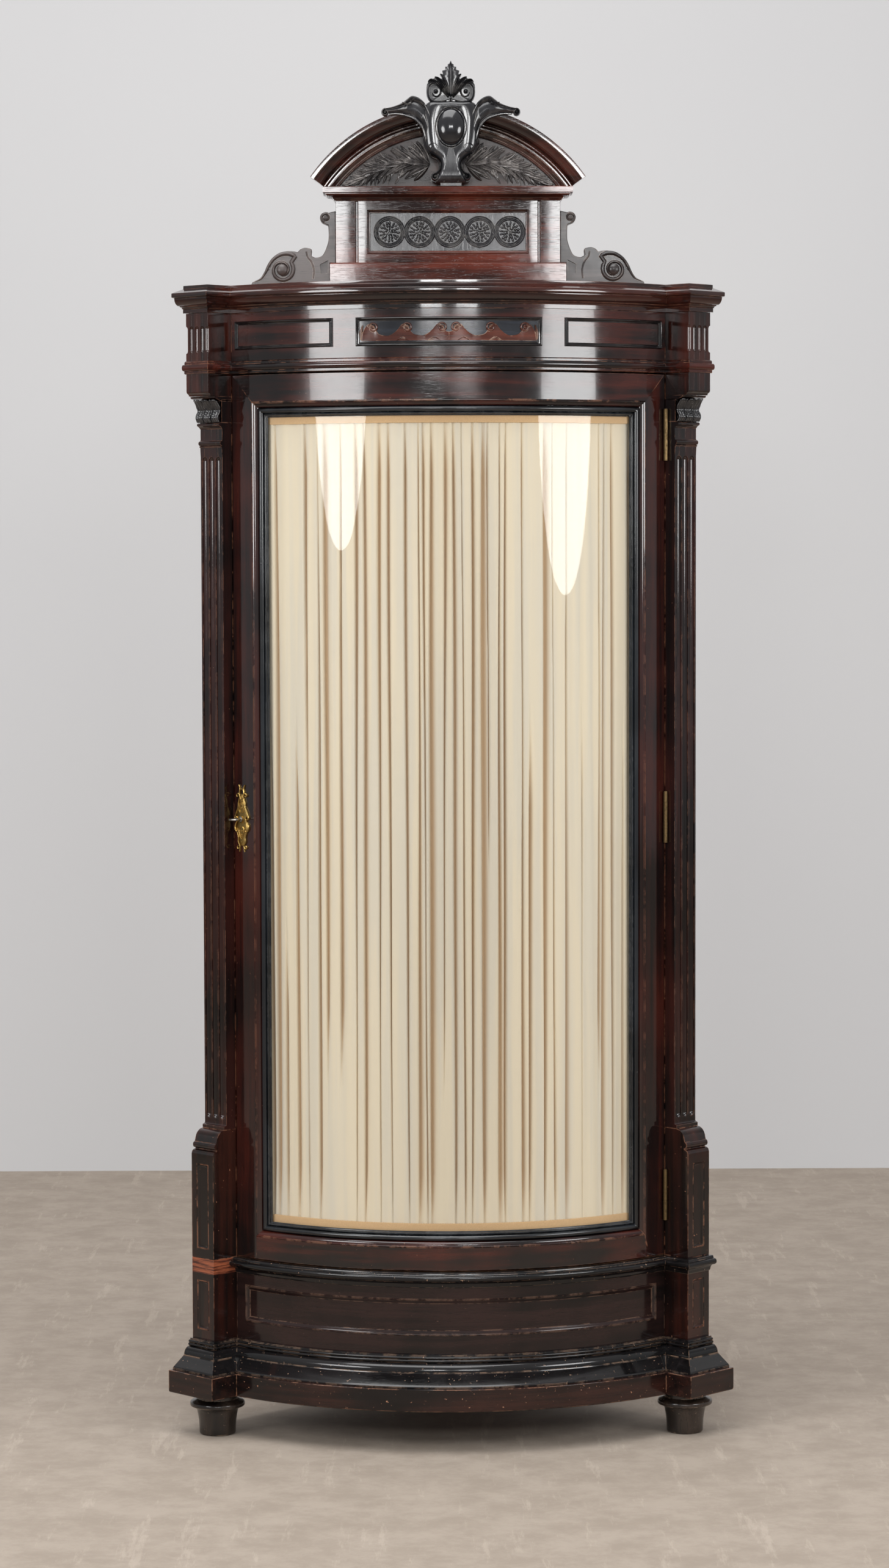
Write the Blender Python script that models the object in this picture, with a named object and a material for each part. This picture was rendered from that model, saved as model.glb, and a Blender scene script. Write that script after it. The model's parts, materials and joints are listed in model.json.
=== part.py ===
"""Bow-front corner cabinet in the Renaissance revival taste.

Metres, +Z up, front towards -Y. The plan is a quarter circle between two square
blocks that are turned 45 degrees, each ending on one wall of the room's corner.
"""

import math

import bmesh
import bpy
from mathutils import Vector

# Clearances
SEAT_GAP = 0.0003
SINK = 0.0006
DOOR_GAP = 0.002
CUT_OVERRUN = 0.004
LEAST_FACET = 0.002

# Plan of the carcass
BOW_RADIUS = 0.560
BLOCK_WIDTH = 0.059
BLOCK_PROJECTION = 0.0573
SHAFT_PROJECTION = 0.0235
POST_DEPTH = 0.045
BACK_THICKNESS = 0.014
BACK_POST_WIDTH = 0.050
BACK_FLAT = 0.030
BOARD_THICKNESS = 0.018
FLOOR_DROP = 0.0005
BOW_COLUMNS = 14

# Heights, from the floor up
FOOT_HEIGHT = 0.077
PLINTH_HEIGHT = 0.042
BASE_MOULDING_HEIGHT = 0.052
DADO_HEIGHT = 0.122
WAIST_HEIGHT = 0.029
DOOR_HEIGHT = 1.621
NECKING_HEIGHT = 0.0235
FRIEZE_HEIGHT = 0.087
CORNICE_HEIGHT = 0.050

# Projections of the mouldings in front of the carcass
PLINTH_PROJECTION = 0.060
BASE_MOULDING_PROJECTION = 0.050
WAIST_PROJECTION = 0.019
NECKING_PROJECTION = 0.011
CORNICE_PROJECTION = 0.035
PLINTH_BORDER = 0.050

# Feet
FOOT_RADIUS = 0.0505
FOOT_NECK_RADIUS = 0.034
FOOT_BASE_RADIUS = 0.0328
FOOT_OUT = 0.050
FOOT_SIDES = 16
BACK_FOOT_INSET = 0.095

# Dado panel
DADO_PANEL_MARGIN = 0.023
DADO_PANEL_HEIGHT = 0.067
DADO_PANEL_ABOVE = 0.034
DADO_PANEL_RECESS = 0.004
PANEL_MOULDING = 0.009

# Recessed panels of the blocks
BLOCK_PANEL_WIDTH = 0.0314
BLOCK_PANEL_RECESS = 0.003
BASE_PANEL_HEIGHT = 0.091
UPPER_PANEL_HEIGHT = 0.157

# Pilasters in the door zone
UPPER_DIE_HEIGHT = 0.193
SCROLL_HEIGHT = 0.045
SHAFT_BASE_HEIGHT = 0.010
SHAFT_BASE_PROJECTION = 0.006
FLUTE_RADIUS = 0.0072
FLUTE_COUNT = 3
FLUTE_MARGIN_LOW = 0.009
FLUTE_MARGIN_HIGH = 0.017
ASTRAGAL_HEIGHT = 0.0145
NECK_HEIGHT = 0.019
COLLAR_HEIGHT = 0.0114
CAPITAL_HEIGHT = 0.048
CAPITAL_FLARE = 0.017
CAPITAL_LEAVES = 3
FRIEZE_BLOCK_DROP = 0.040
FRIEZE_FLUTE_RADIUS = 0.0052
FRIEZE_FLUTE_HEIGHT = 0.049
FRIEZE_FLUTE_ABOVE = 0.014

# Frieze panels
FRIEZE_PANEL_HEIGHT = 0.0515
FRIEZE_PANEL_ABOVE = 0.020
SIDE_PANEL_INNER = math.radians(21.8)
SIDE_PANEL_OUTER = math.radians(43.8)
CENTRE_PANEL_HALF = math.radians(17.3)
FRAME_WIDTH = 0.007
FRAME_PROJECTION = 0.004
WAVES_EACH_SIDE = 3
WAVE_PITCH = 0.062
WAVE_GROUND = 0.0012
WAVE_HEIGHT = 0.0035

# Door
DOOR_THICKNESS = 0.024
STILE_WIDTH = 0.049
TOP_RAIL_WIDTH = 0.049
BOTTOM_RAIL_WIDTH = 0.0414
STICKING_WIDTH = 0.011
STICKING_DEPTH = 0.008
REBATE_WIDTH = 0.006
REBATE_DEPTH = 0.0145
GLAZING_WIDTH = 0.0172
GLASS_THICKNESS = 0.003

# Hinges
HINGE_LENGTH = 0.093
HINGE_INSET = 0.1105
KNUCKLE_RADIUS = 0.004
PIN_RADIUS = 0.0016
PIN_CLEARANCE = 0.0004
AXIS_OUT = 0.0055
LEAF_THICKNESS = 0.0016
LEAF_DEPTH = 0.018
LEAF_SETBACK = 0.0025
KNUCKLES = 5
KNUCKLE_SIDES = 10
PIN_SIDES = 8

# Lock and key
LOCK_FROM_EDGE = 0.0228
LOCK_CASE_LENGTH = 0.036
LOCK_CASE_HEIGHT = 0.058
LOCK_CASE_DEPTH = 0.0118
LOCK_CASE_WALL = 0.0012
LOCK_CASE_SETBACK = 0.0008
BOLT_HEIGHT = 0.010
BOLT_THICKNESS = 0.006
BOLT_RISE = 0.0135
BOLT_LENGTH = 0.024
BOLT_THROW = 0.010
STRIKE_HEIGHT = 0.044
STRIKE_WIDTH = 0.016
STRIKE_THICKNESS = 0.0015
KEYHOLE_RADIUS = 0.0036
KEY_SHANK_RADIUS = 0.0029
KEY_PROTRUSION = 0.033
KEY_BIT_LENGTH = 0.0085
KEY_BIT_DEPTH = 0.0055
KEY_BIT_THICKNESS = 0.0022
BOW_RING_RADIUS = 0.0095
BOW_RING_THICKNESS = 0.0022
ESCUTCHEON_HEIGHT = 0.128
ESCUTCHEON_HALF_WIDTH = 0.0165
ESCUTCHEON_THICKNESS = 0.0022

# Curtain behind the glass
CURTAIN_FOLDS = 34
CURTAIN_FOLD_DEPTH = 0.0048
CURTAIN_THICKNESS = 0.0014
CURTAIN_SETBACK = 0.0275
CURTAIN_OVERLAP = 0.003
POINTS_PER_FOLD = 4
ROD_RADIUS = 0.0025
ROD_INSET = 0.010
ROD_COLUMNS = 12

# Shelves
SHELF_SETBACK = 0.056
SHELF_CLEARANCE = 0.001
CLEAT_HEIGHT = 0.022
CLEAT_THICKNESS = 0.018
SHELF_RISES = (0.560, 1.130)

# Pediment
PEDIMENT_DEPTH = 0.055
PEDIMENT_BASE_TOP = 0.041
PEDIMENT_BASE_HALF = 0.215
PEDIMENT_BASE_OUT = 0.010
PEDIMENT_BODY_HEIGHT = 0.1127
PEDIMENT_BODY_INSET = 0.0105
SIDE_STRIP_WIDTH = 0.0355
SIDE_STRIP_GROOVE = 0.0055
FIELD_BORDER = 0.0165
FIELD_MOULDING = 0.0055
FIELD_RECESS = 0.007
CAP_HEIGHT = 0.0243
CAP_PROJECTION = 0.023
ROSETTE_COUNT = 5
ROSETTE_MARGIN = 0.0045
ROSETTE_SHARE = 0.489
ROSETTE_FLOWER_SHARE = 0.69
ROSETTE_PETALS = 8

# Arched crest
ARCH_OUTER_RADIUS = 0.305
ARCH_WIDTH = 0.052
ARCH_DROP_SHARE = 0.5148
ARCH_SPREAD_SHARE = 0.8197
ARCH_PROJECTION = 0.023
ARCH_COLUMNS = 18
TYMPANUM_THICKNESS = 0.022
TYMPANUM_SETBACK = 0.005
SHIELD_THICKNESS = 0.016
CABOCHON_RADIUS = 0.0288
CABOCHON_STRETCH = 1.35
CABOCHON_RISE = 0.011
PALMETTE_HEIGHT = 0.0645
PALMETTE_THICKNESS = 0.012
LEAVES_EACH_BRANCH = 8
LAUREL_LENGTH = 0.026
LAUREL_WIDTH = 0.0075

# Side brackets
BRACKET_LENGTH = 0.1434
BRACKET_HEIGHT = 0.133
BRACKET_THICKNESS = 0.030
BRACKET_SETBACK = 0.006


def rgb(red, green, blue):
    """A colour as the eye names it, 0 to 255, in Blender's linear values."""
    return tuple(((c / 255 + 0.055) / 1.055) ** 2.4 if c > 10 else c / 3294 for c in (red, green, blue))


FINISHES = {
    "polished_mahogany": (rgb(62, 26, 18), 0.22, 0.0),
    "dark_mahogany": (rgb(40, 20, 17), 0.25, 0.0),
    "ebonised_wood": (rgb(26, 25, 27), 0.28, 0.0),
    "inner_wood": (rgb(120, 78, 48), 0.6, 0.0),
    "raw_wood": (rgb(190, 130, 84), 0.7, 0.0),
    "brass": (rgb(196, 158, 88), 0.3, 1.0),
    "gilt_metal": (rgb(190, 160, 100), 0.35, 1.0),
    "steel": (rgb(150, 148, 145), 0.35, 1.0),
    "window_glass": (rgb(225, 230, 226), 0.05, 0.0),
    "cream_cloth": (rgb(214, 196, 160), 0.85, 0.0),
}

HALF_CHORD = BOW_RADIUS * math.sin(math.radians(45))
SIN45 = math.sqrt(0.5)
HALF_ARC = BOW_RADIUS * math.radians(45)
FACET_LENGTH = 2 * HALF_ARC / BOW_COLUMNS

PLINTH_BOTTOM = FOOT_HEIGHT
PLINTH_TOP = PLINTH_BOTTOM + PLINTH_HEIGHT
DADO_BOTTOM = PLINTH_TOP + BASE_MOULDING_HEIGHT
WAIST_BOTTOM = DADO_BOTTOM + DADO_HEIGHT
WAIST_TOP = WAIST_BOTTOM + WAIST_HEIGHT
DOOR_BOTTOM = WAIST_TOP + DOOR_GAP
DOOR_TOP = DOOR_BOTTOM + DOOR_HEIGHT
NECKING_BOTTOM = DOOR_TOP + DOOR_GAP
FRIEZE_BOTTOM = NECKING_BOTTOM + NECKING_HEIGHT
CORNICE_BOTTOM = FRIEZE_BOTTOM + FRIEZE_HEIGHT
CORNICE_TOP = CORNICE_BOTTOM + CORNICE_HEIGHT

# The bounding box is centred on the origin in plan
CORNER_BACK = HALF_CHORD + BLOCK_WIDTH / SIN45
FRONT_REACH = BOW_RADIUS - HALF_CHORD + PLINTH_PROJECTION
CHORD_Y = (FRONT_REACH - (CORNER_BACK - BACK_FLAT / 2)) / 2

PEDIMENT_BODY_HALF = PEDIMENT_BASE_HALF - PEDIMENT_BODY_INSET
FIELD_HALF = PEDIMENT_BODY_HALF - SIDE_STRIP_WIDTH - SIDE_STRIP_GROOVE - FIELD_BORDER
ROSETTE_SPACING = 2 * (FIELD_HALF - FIELD_MOULDING - ROSETTE_MARGIN) / ROSETTE_COUNT
ROSETTE_RADIUS = ROSETTE_SPACING * ROSETTE_SHARE
ARCH_INNER_RADIUS = ARCH_OUTER_RADIUS - ARCH_WIDTH
ARCH_CENTRE_DROP = ARCH_OUTER_RADIUS * ARCH_DROP_SHARE
ARCH_HALF_WIDTH = ARCH_OUTER_RADIUS * ARCH_SPREAD_SHARE
CROWN_HEIGHT = ARCH_OUTER_RADIUS - ARCH_CENTRE_DROP

DOOR_HALF_ARC = HALF_ARC - DOOR_GAP
LOCK_ARC = HALF_ARC - LOCK_FROM_EDGE
LOCK_Z = (DOOR_BOTTOM + DOOR_TOP) / 2
HINGE_HEIGHTS = (DOOR_BOTTOM + HINGE_INSET, LOCK_Z, DOOR_TOP - HINGE_INSET)
AXIS_IN = KNUCKLE_RADIUS + SEAT_GAP
GLASS_FACE = REBATE_DEPTH + SEAT_GAP
ROD_SETBACK = CURTAIN_SETBACK + CURTAIN_FOLD_DEPTH + CURTAIN_THICKNESS / 2 + SEAT_GAP + ROD_RADIUS

for old in list(bpy.data.objects):
    bpy.data.objects.remove(old, do_unlink=True)


def material(finish):
    """The finish as a Principled material, made once."""
    known = bpy.data.materials.get(finish)
    if known:
        return known
    colour, roughness, metallic = FINISHES[finish]
    made = bpy.data.materials.new(finish)
    made.use_nodes = True
    shader = made.node_tree.nodes["Principled BSDF"]
    shader.inputs["Base Color"].default_value = (*colour, 1)
    shader.inputs["Roughness"].default_value = roughness
    shader.inputs["Metallic"].default_value = metallic
    return made


def spaced(start, end, steps):
    """Evenly spaced values, both ends included."""
    return [start + (end - start) * i / steps for i in range(steps + 1)]


def quarter(start, end, hollow, steps=4):
    """A quarter ellipse between two profile points, round or hollow, without its first point."""
    points = []
    for i in range(1, steps + 1):
        turn = math.pi / 2 * i / steps
        across, along = (math.sin(turn), 1 - math.cos(turn))
        if hollow:
            across, along = along, across
        points.append((start[0] + (end[0] - start[0]) * across, start[1] + (end[1] - start[1]) * along))
    return points


def circle(centre, radius, start, end, steps):
    """Points on an arc, in degrees, anticlockwise from +X."""
    return [(centre[0] + radius * math.cos(math.radians(a)), centre[1] + radius * math.sin(math.radians(a)))
            for a in spaced(start, end, steps)]


def mirrored(points):
    """The same points on the other side of the centre line."""
    return [(-x, z) for x, z in reversed(points)]


def corner(side, along, out):
    """Plan point beside a block: along the block's face into the bow, and out from the bow's end."""
    return side * (HALF_CHORD + (out - along) * SIN45), CHORD_Y - (along + out) * SIN45


def bow(along, z, out):
    """Point on the bow's facets: arc length from the centre line, height, and distance out from the face."""
    facet = min(max(math.floor(along / FACET_LENGTH), -BOW_COLUMNS // 2), BOW_COLUMNS // 2 - 1)
    reach = BOW_RADIUS + out
    edges = []
    for line in (facet, facet + 1):
        angle = line * FACET_LENGTH / BOW_RADIUS
        edges.append(Vector((reach * math.sin(angle), CHORD_Y + HALF_CHORD - reach * math.cos(angle), z)))
    return tuple(edges[0].lerp(edges[1], along / FACET_LENGTH - facet))


def block(side, face):
    """A map from (along, z, out) to a plane of one block, face metres out from the bow's end."""
    def place(along, z, out):
        return *corner(side, along, face + out), z
    return place


def pediment(across, z, out):
    """Point on the pediment's front plane."""
    return across, CHORD_Y - out, z


def lock_place(along, z, out):
    """Point beside the lock: along the door's face towards its middle, height, and out."""
    angle = -LOCK_ARC / BOW_RADIUS
    middle = bow(-LOCK_ARC, z, 0)
    return (middle[0] + along * math.cos(angle) + out * math.sin(angle),
            middle[1] + along * math.sin(angle) - out * math.cos(angle), z)


def between(left, right):
    """The bow's facet lines between two arc lengths; every piece on the bow shares them."""
    lines = [FACET_LENGTH * i for i in range(-BOW_COLUMNS // 2, BOW_COLUMNS // 2 + 1)]
    return [s for s in lines if left + LEAST_FACET < s < right - LEAST_FACET]


def bow_line(half, out):
    """Plan points along the bow, from the angle -half to half, moved out by out."""
    end = half * BOW_RADIUS
    return [bow(s, 0, out)[:2] for s in (-end, *between(-end, end), end)]


def front_line(out, left="wall", right="wall"):
    """The front outline moved out by out, from the left wall to the right one."""
    line = bow_line(math.radians(45) - math.asin(out / (BOW_RADIUS + out)), out)
    if left == "wall":
        reach = BLOCK_PROJECTION + out
        line = [corner(-1, -BLOCK_WIDTH, reach), corner(-1, out, reach)] + line
    if right == "wall":
        reach = BLOCK_PROJECTION + out
        line = line + [corner(1, out, reach), corner(1, -BLOCK_WIDTH, reach)]
    return line


def loft(rings, closed=False):
    """A solid from rings of equal length, each a loop, with end caps unless the rings close up."""
    size = len(rings[0])
    points = [p for ring in rings for p in ring]
    faces = []
    for j in range(len(rings) if closed else len(rings) - 1):
        low = j * size
        high = (j + 1) % len(rings) * size
        faces += [(low + i, low + (i + 1) % size, high + (i + 1) % size, high + i) for i in range(size)]
    if not closed:
        faces += [tuple(range(size)), tuple(range(len(points) - size, len(points)))]
    return points, faces


def joined(parts):
    """Several separate solids as one list of points and one of faces."""
    points, faces = [], []
    for some_points, some_faces in parts:
        start = len(points)
        points += some_points
        faces += [tuple(start + i for i in face) for face in some_faces]
    return points, faces


def sweep(profile, line_of):
    """A moulding: a closed profile of (out, z) points swept along a line that depends on out."""
    lines = [line_of(out) for out, _ in profile]
    return loft([[(*line[j], z) for line, (_, z) in zip(lines, profile)] for j in range(len(lines[0]))])


def clipped(facets, left, right):
    """Both ends and the facet lines between them; those outside fall on the ends and are welded there."""
    return [left, *[min(max(s, left), right) for s in facets], right]


def rectangle(place, facets, left, right, bottom, top, out):
    """A loop round a rectangle, its long sides cut at the facet lines."""
    stations = clipped(facets, left, right)
    return [place(s, bottom, out) for s in stations] + [place(s, top, out) for s in reversed(stations)]


def panel(place, rings):
    """A board with a stepped front, from rectangles (left, right, bottom, top, out), back first."""
    facets = between(*rings[0][:2]) if place is bow else []
    points, faces = loft([rectangle(place, facets, *ring) for ring in rings])
    faces = faces[:-2]
    columns = len(facets) + 1
    size = 2 * (columns + 1)
    for start in (0, len(points) - size):
        last = start + size - 1
        faces += [(start + i, start + i + 1, last - i - 1, last - i) for i in range(columns)]
    return points, faces


def frame(place, left, right, bottom, top, profile):
    """A mitred frame whose closed profile of (inset, out) points starts at the given rectangle."""
    facets = between(left, right) if place is bow else []
    rings = [rectangle(place, facets, left + d, right - d, bottom + d, top - d, out) for d, out in profile]
    return loft(rings, closed=True)


def prism(place, outline, low, high):
    """A flat outline of (along, z) points made solid between two distances out."""
    return loft([[place(s, z, out) for s, z in outline] for out in (low, high)])


def eased(place, outline, low, high, edge):
    """A prism whose front edge is eased by a small chamfer."""
    inner = inset(outline, edge)
    return loft([[place(s, z, low) for s, z in outline], [place(s, z, high - edge) for s, z in outline],
                 [place(s, z, high) for s, z in inner]])


def relief(place, outline, low, levels):
    """A carved plate: its outline shrinks by steps of (inset, out) towards the front."""
    rings = [[place(s, z, low) for s, z in outline]]
    rings += [[place(s, z, out) for s, z in inset(outline, step)] for step, out in levels]
    return loft(rings)


def inset(outline, distance):
    """The outline moved inwards along the bisector at each point; it runs anticlockwise."""
    moved = []
    count = len(outline)
    for i, here in enumerate(outline):
        before = Vector(outline[i - 1])
        after = Vector(outline[(i + 1) % count])
        middle = Vector(here)
        first = (middle - before).normalized()
        second = (after - middle).normalized()
        normal = Vector((-first.y - second.y, first.x + second.x))
        length = max(normal.length, 0.8)
        moved.append(tuple(middle + normal.normalized() * distance * 2 / length))
    return moved


def turned(centre, profile, sides, stretch=(1, 1)):
    """A turned solid round a vertical axis from (radius, z) points."""
    rings = []
    turns = spaced(0, 2 * math.pi * (sides - 1) / sides, sides - 1)
    for radius, z in profile:
        wide, deep = stretch[0] * radius, stretch[1] * radius
        rings.append([(centre[0] + wide * math.cos(a), centre[1] + deep * math.sin(a), z) for a in turns])
    return loft(rings)


def boss(place, centre, profile, sides, stretch=(1, 1)):
    """A turned boss that faces out from a plane, from (radius, out) points."""
    rings = []
    for radius, out in profile:
        rings.append([place(centre[0] + stretch[0] * radius * math.cos(a),
                            centre[1] + stretch[1] * radius * math.sin(a), out)
                      for a in spaced(0, 2 * math.pi * (sides - 1) / sides, sides - 1)])
    return loft(rings)


def ribbon(place, path, widths, low, high):
    """A carved band along a path of (along, z) points, ridged in the middle."""
    rings = []
    for i, here in enumerate(path):
        before = Vector(path[max(i - 1, 0)])
        after = Vector(path[min(i + 1, len(path) - 1)])
        side = (after - before).normalized() * widths[i] / 2
        across = Vector((-side.y, side.x))
        middle = Vector(here)
        left, right = middle + across, middle - across
        rings.append([place(*left, low), place(*middle, high), place(*right, low)])
    return loft(rings)


def tube(points, radius, sides):
    """A round bar along points in space, mitred at each bend."""
    rings = []
    up = Vector((0, 0, 1))
    for i, here in enumerate(points):
        before = Vector(points[max(i - 1, 0)])
        after = Vector(points[min(i + 1, len(points) - 1)])
        along = (after - before).normalized()
        across = along.cross(up).normalized()
        rise = across.cross(along).normalized()
        rings.append([tuple(Vector(here) + radius * (across * math.cos(a) + rise * math.sin(a)))
                      for a in spaced(0, 2 * math.pi * (sides - 1) / sides, sides - 1)])
    return loft(rings)


def box(place, low, high):
    """A plain block between two corners (along, z, out)."""
    return panel(place, [(low[0], high[0], low[1], high[1], out) for out in (low[2], high[2])])


def add(name, solid, finish, parent=None, smooth=False):
    """An object from points and faces."""
    points, faces = solid
    mesh = bpy.data.meshes.new(name)
    bm = bmesh.new()
    made = [bm.verts.new(p) for p in points]
    for face in faces:
        bm.faces.new([made[i] for i in face])
    bmesh.ops.remove_doubles(bm, verts=bm.verts, dist=1e-6)
    bmesh.ops.recalc_face_normals(bm, faces=bm.faces)
    bmesh.ops.triangulate(bm, faces=[f for f in bm.faces if len(f.verts) > 4], ngon_method="EAR_CLIP")
    bm.to_mesh(mesh)
    bm.free()
    if smooth:
        mesh.shade_smooth()
        mesh.set_sharp_from_angle(angle=math.radians(35))
    mesh.materials.append(material(finish))
    made_object = bpy.data.objects.new(name, mesh)
    bpy.context.scene.collection.objects.link(made_object)
    if parent:
        made_object.parent = parent
        made_object.matrix_parent_inverse = parent.matrix_world.inverted()
    return made_object


def boolean(target, tool_solid, operation, label, overlapping=False):
    """Cut a solid out of an object, or join it on, with a hidden helper object."""
    helper = add(f"{target.name}_{label}", tool_solid, "steel", target.parent)
    helper.hide_render = True
    helper.display_type = "WIRE"
    change = target.modifiers.new(label, "BOOLEAN")
    change.operation = operation
    change.solver = "EXACT"
    change.object = helper
    change.use_self = overlapping
    return target


def cut(target, *tools):
    for number, tool in enumerate(tools, len(target.modifiers) + 1):
        boolean(target, tool, "DIFFERENCE", f"cut_{number}")
    return target


def unite(target, *tools):
    """Join solids on; those in one tool may overlap each other."""
    for number, tool in enumerate(tools, len(target.modifiers) + 1):
        boolean(target, tool, "UNION", f"join_{number}", overlapping=True)
    return target


def pivot(name, place):
    """An empty on a joint's axis, for the pieces that turn or slide with it."""
    empty = bpy.data.objects.new(name, None)
    empty.location = place
    bpy.context.scene.collection.objects.link(empty)
    bpy.context.view_layer.update()
    return empty


# Feet and plinth

def foot_profile():
    ankle = FOOT_RADIUS * 0.74
    brim = FOOT_HEIGHT * 0.74
    profile = [(FOOT_BASE_RADIUS - 0.003, 0), (FOOT_BASE_RADIUS, 0.003), (ankle, FOOT_HEIGHT * 0.53)]
    profile += quarter(profile[-1], (FOOT_RADIUS, brim), hollow=True, steps=3)
    profile += [(FOOT_RADIUS, brim + 0.003), (FOOT_RADIUS - 0.003, brim + 0.006)]
    profile += [(FOOT_NECK_RADIUS, brim + 0.009), (FOOT_NECK_RADIUS, FOOT_HEIGHT - SEAT_GAP)]
    return profile


def make_feet():
    back = (0, CHORD_Y + CORNER_BACK - BACK_FOOT_INSET)
    places = {"foot_left": corner(-1, 0, FOOT_OUT), "foot_right": corner(1, 0, FOOT_OUT), "foot_back": back}
    for name, centre in places.items():
        add(name, turned(centre, foot_profile(), FOOT_SIDES), "ebonised_wood", smooth=True)


def back_corner(inset_from_wall):
    """The two plan points of the flat at the back corner, moved in from the walls."""
    half = BACK_FLAT / 2
    back = CHORD_Y + CORNER_BACK - half
    reach = half - inset_from_wall / SIN45
    return [(reach, back), (-reach, back)]


def whole_plan(out):
    """The outline of a board that covers the whole plan."""
    return front_line(out) + back_corner(0)


def inner_plan(front_out, wall_gap):
    """The outline of a board between the posts, the backs and the back post."""
    side = SEAT_GAP + wall_gap
    wall = -BLOCK_WIDTH + BACK_THICKNESS + side
    behind = -POST_DEPTH - SEAT_GAP
    back = -BOW_RADIUS - BLOCK_WIDTH + BACK_POST_WIDTH + side
    if front_out > behind:
        line = bow_line(math.radians(45) - math.asin(side / (BOW_RADIUS + front_out)), front_out)
        ends = [(side, behind), (wall, behind)]
    else:
        line = bow_line(math.radians(45), front_out)
        ends = [(wall, front_out)]
    right = [corner(1, *end) for end in ends] + [corner(1, wall, back)]
    left = [corner(-1, wall, back)] + [corner(-1, *end) for end in reversed(ends)]
    return line + right + left


def board(outline, bottom, top):
    """A flat board from a plan outline."""
    return loft([[(x, y, z) for x, y in outline] for z in (bottom, top)])


def make_base():
    edge = 0.004
    rings = [(PLINTH_PROJECTION - edge, PLINTH_BOTTOM), (PLINTH_PROJECTION, PLINTH_BOTTOM + edge),
             (PLINTH_PROJECTION, PLINTH_TOP - 0.001), (PLINTH_PROJECTION - 0.0015, PLINTH_TOP)]
    shape = loft([[(x, y, z) for x, y in whole_plan(out)] for out, z in rings])
    plinth = add("plinth", shape, "polished_mahogany")
    wall = -BLOCK_WIDTH + PLINTH_BORDER + BLOCK_PROJECTION
    hole = bow_line(math.radians(45) - math.asin(wall / (BOW_RADIUS - PLINTH_BORDER)), -PLINTH_BORDER)
    hole += [(BACK_FOOT_INSET / 2, CHORD_Y + CORNER_BACK - BACK_FOOT_INSET * 1.9),
             (-BACK_FOOT_INSET / 2, CHORD_Y + CORNER_BACK - BACK_FOOT_INSET * 1.9)]
    cut(plinth, board(hole, PLINTH_BOTTOM - CUT_OVERRUN, PLINTH_TOP + CUT_OVERRUN))
    low_board = board(whole_plan(0), PLINTH_TOP + SEAT_GAP, PLINTH_TOP + BOARD_THICKNESS)
    add("bottom_board", low_board, "inner_wood")
    floor = board(inner_plan(0, 0), WAIST_TOP - BOARD_THICKNESS, WAIST_TOP - FLOOR_DROP)
    add("floor_board", floor, "inner_wood")
    high_board = board(whole_plan(0), CORNICE_BOTTOM + SEAT_GAP, CORNICE_BOTTOM + BOARD_THICKNESS)
    add("top_board", high_board, "inner_wood")
    add("base_moulding", sweep(base_profile(), front_line), "ebonised_wood")


def base_profile():
    """Splay, hollow and double bead above the plinth."""
    reach = BASE_MOULDING_PROJECTION
    bottom = PLINTH_TOP + SEAT_GAP
    height = BASE_MOULDING_HEIGHT - SEAT_GAP

    def at(share_out, share_up):
        return reach * share_out, bottom + height * share_up
    outer = [at(1.0, 0), at(0.97, 0.08), at(0.49, 0.40), at(0.42, 0.44)]
    outer += quarter(outer[-1], at(0.17, 0.73), hollow=True, steps=3)
    outer += [at(0.22, 0.76), at(0.245, 0.82), at(0.22, 0.88), at(0.13, 0.91), at(0.1, 1.0)]
    return outer + [(SEAT_GAP, bottom + height), (SEAT_GAP, bottom)]


# Carcass

def side_name(side):
    return "left" if side < 0 else "right"


def make_posts():
    bottom = PLINTH_TOP + BOARD_THICKNESS + SEAT_GAP
    top = CORNICE_BOTTOM
    panel_bottom = (DADO_BOTTOM + WAIST_BOTTOM - BASE_PANEL_HEIGHT) / 2 + 0.003
    for side in (-1, 1):
        place = block(side, 0)
        outline = [(-POST_DEPTH, bottom), (BLOCK_PROJECTION, bottom), (BLOCK_PROJECTION, WAIST_TOP),
                   (0, WAIST_TOP), (0, top), (-POST_DEPTH, top)]
        rings = [[place(along, z, out) for out, z in outline] for along in (-BLOCK_WIDTH, 0)]
        post = add(f"post_{side_name(side)}", loft(rings), "polished_mahogany")
        cut(post, block_recess(side, panel_bottom, BASE_PANEL_HEIGHT))
        if side < 0:
            cut(post, box(lock_place, *strike_room()), box(lock_place, *bolt_room()))
        else:
            for z in HINGE_HEIGHTS:
                cut(post, box(place, *leaf_room(z, -1)))


def block_recess(side, bottom, height):
    """The sunk panel in a block's face, with sloping borders."""
    margin = (BLOCK_WIDTH - BLOCK_PANEL_WIDTH) / 2
    left, right = -BLOCK_WIDTH + margin, -margin
    slope = BLOCK_PANEL_RECESS
    rings = [(left + slope, right - slope, bottom + slope, bottom + height - slope, -BLOCK_PANEL_RECESS),
             (left, right, bottom, bottom + height, 0),
             (left - slope, right + slope, bottom - slope, bottom + height + slope, slope)]
    return panel(block(side, BLOCK_PROJECTION), rings)


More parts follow.
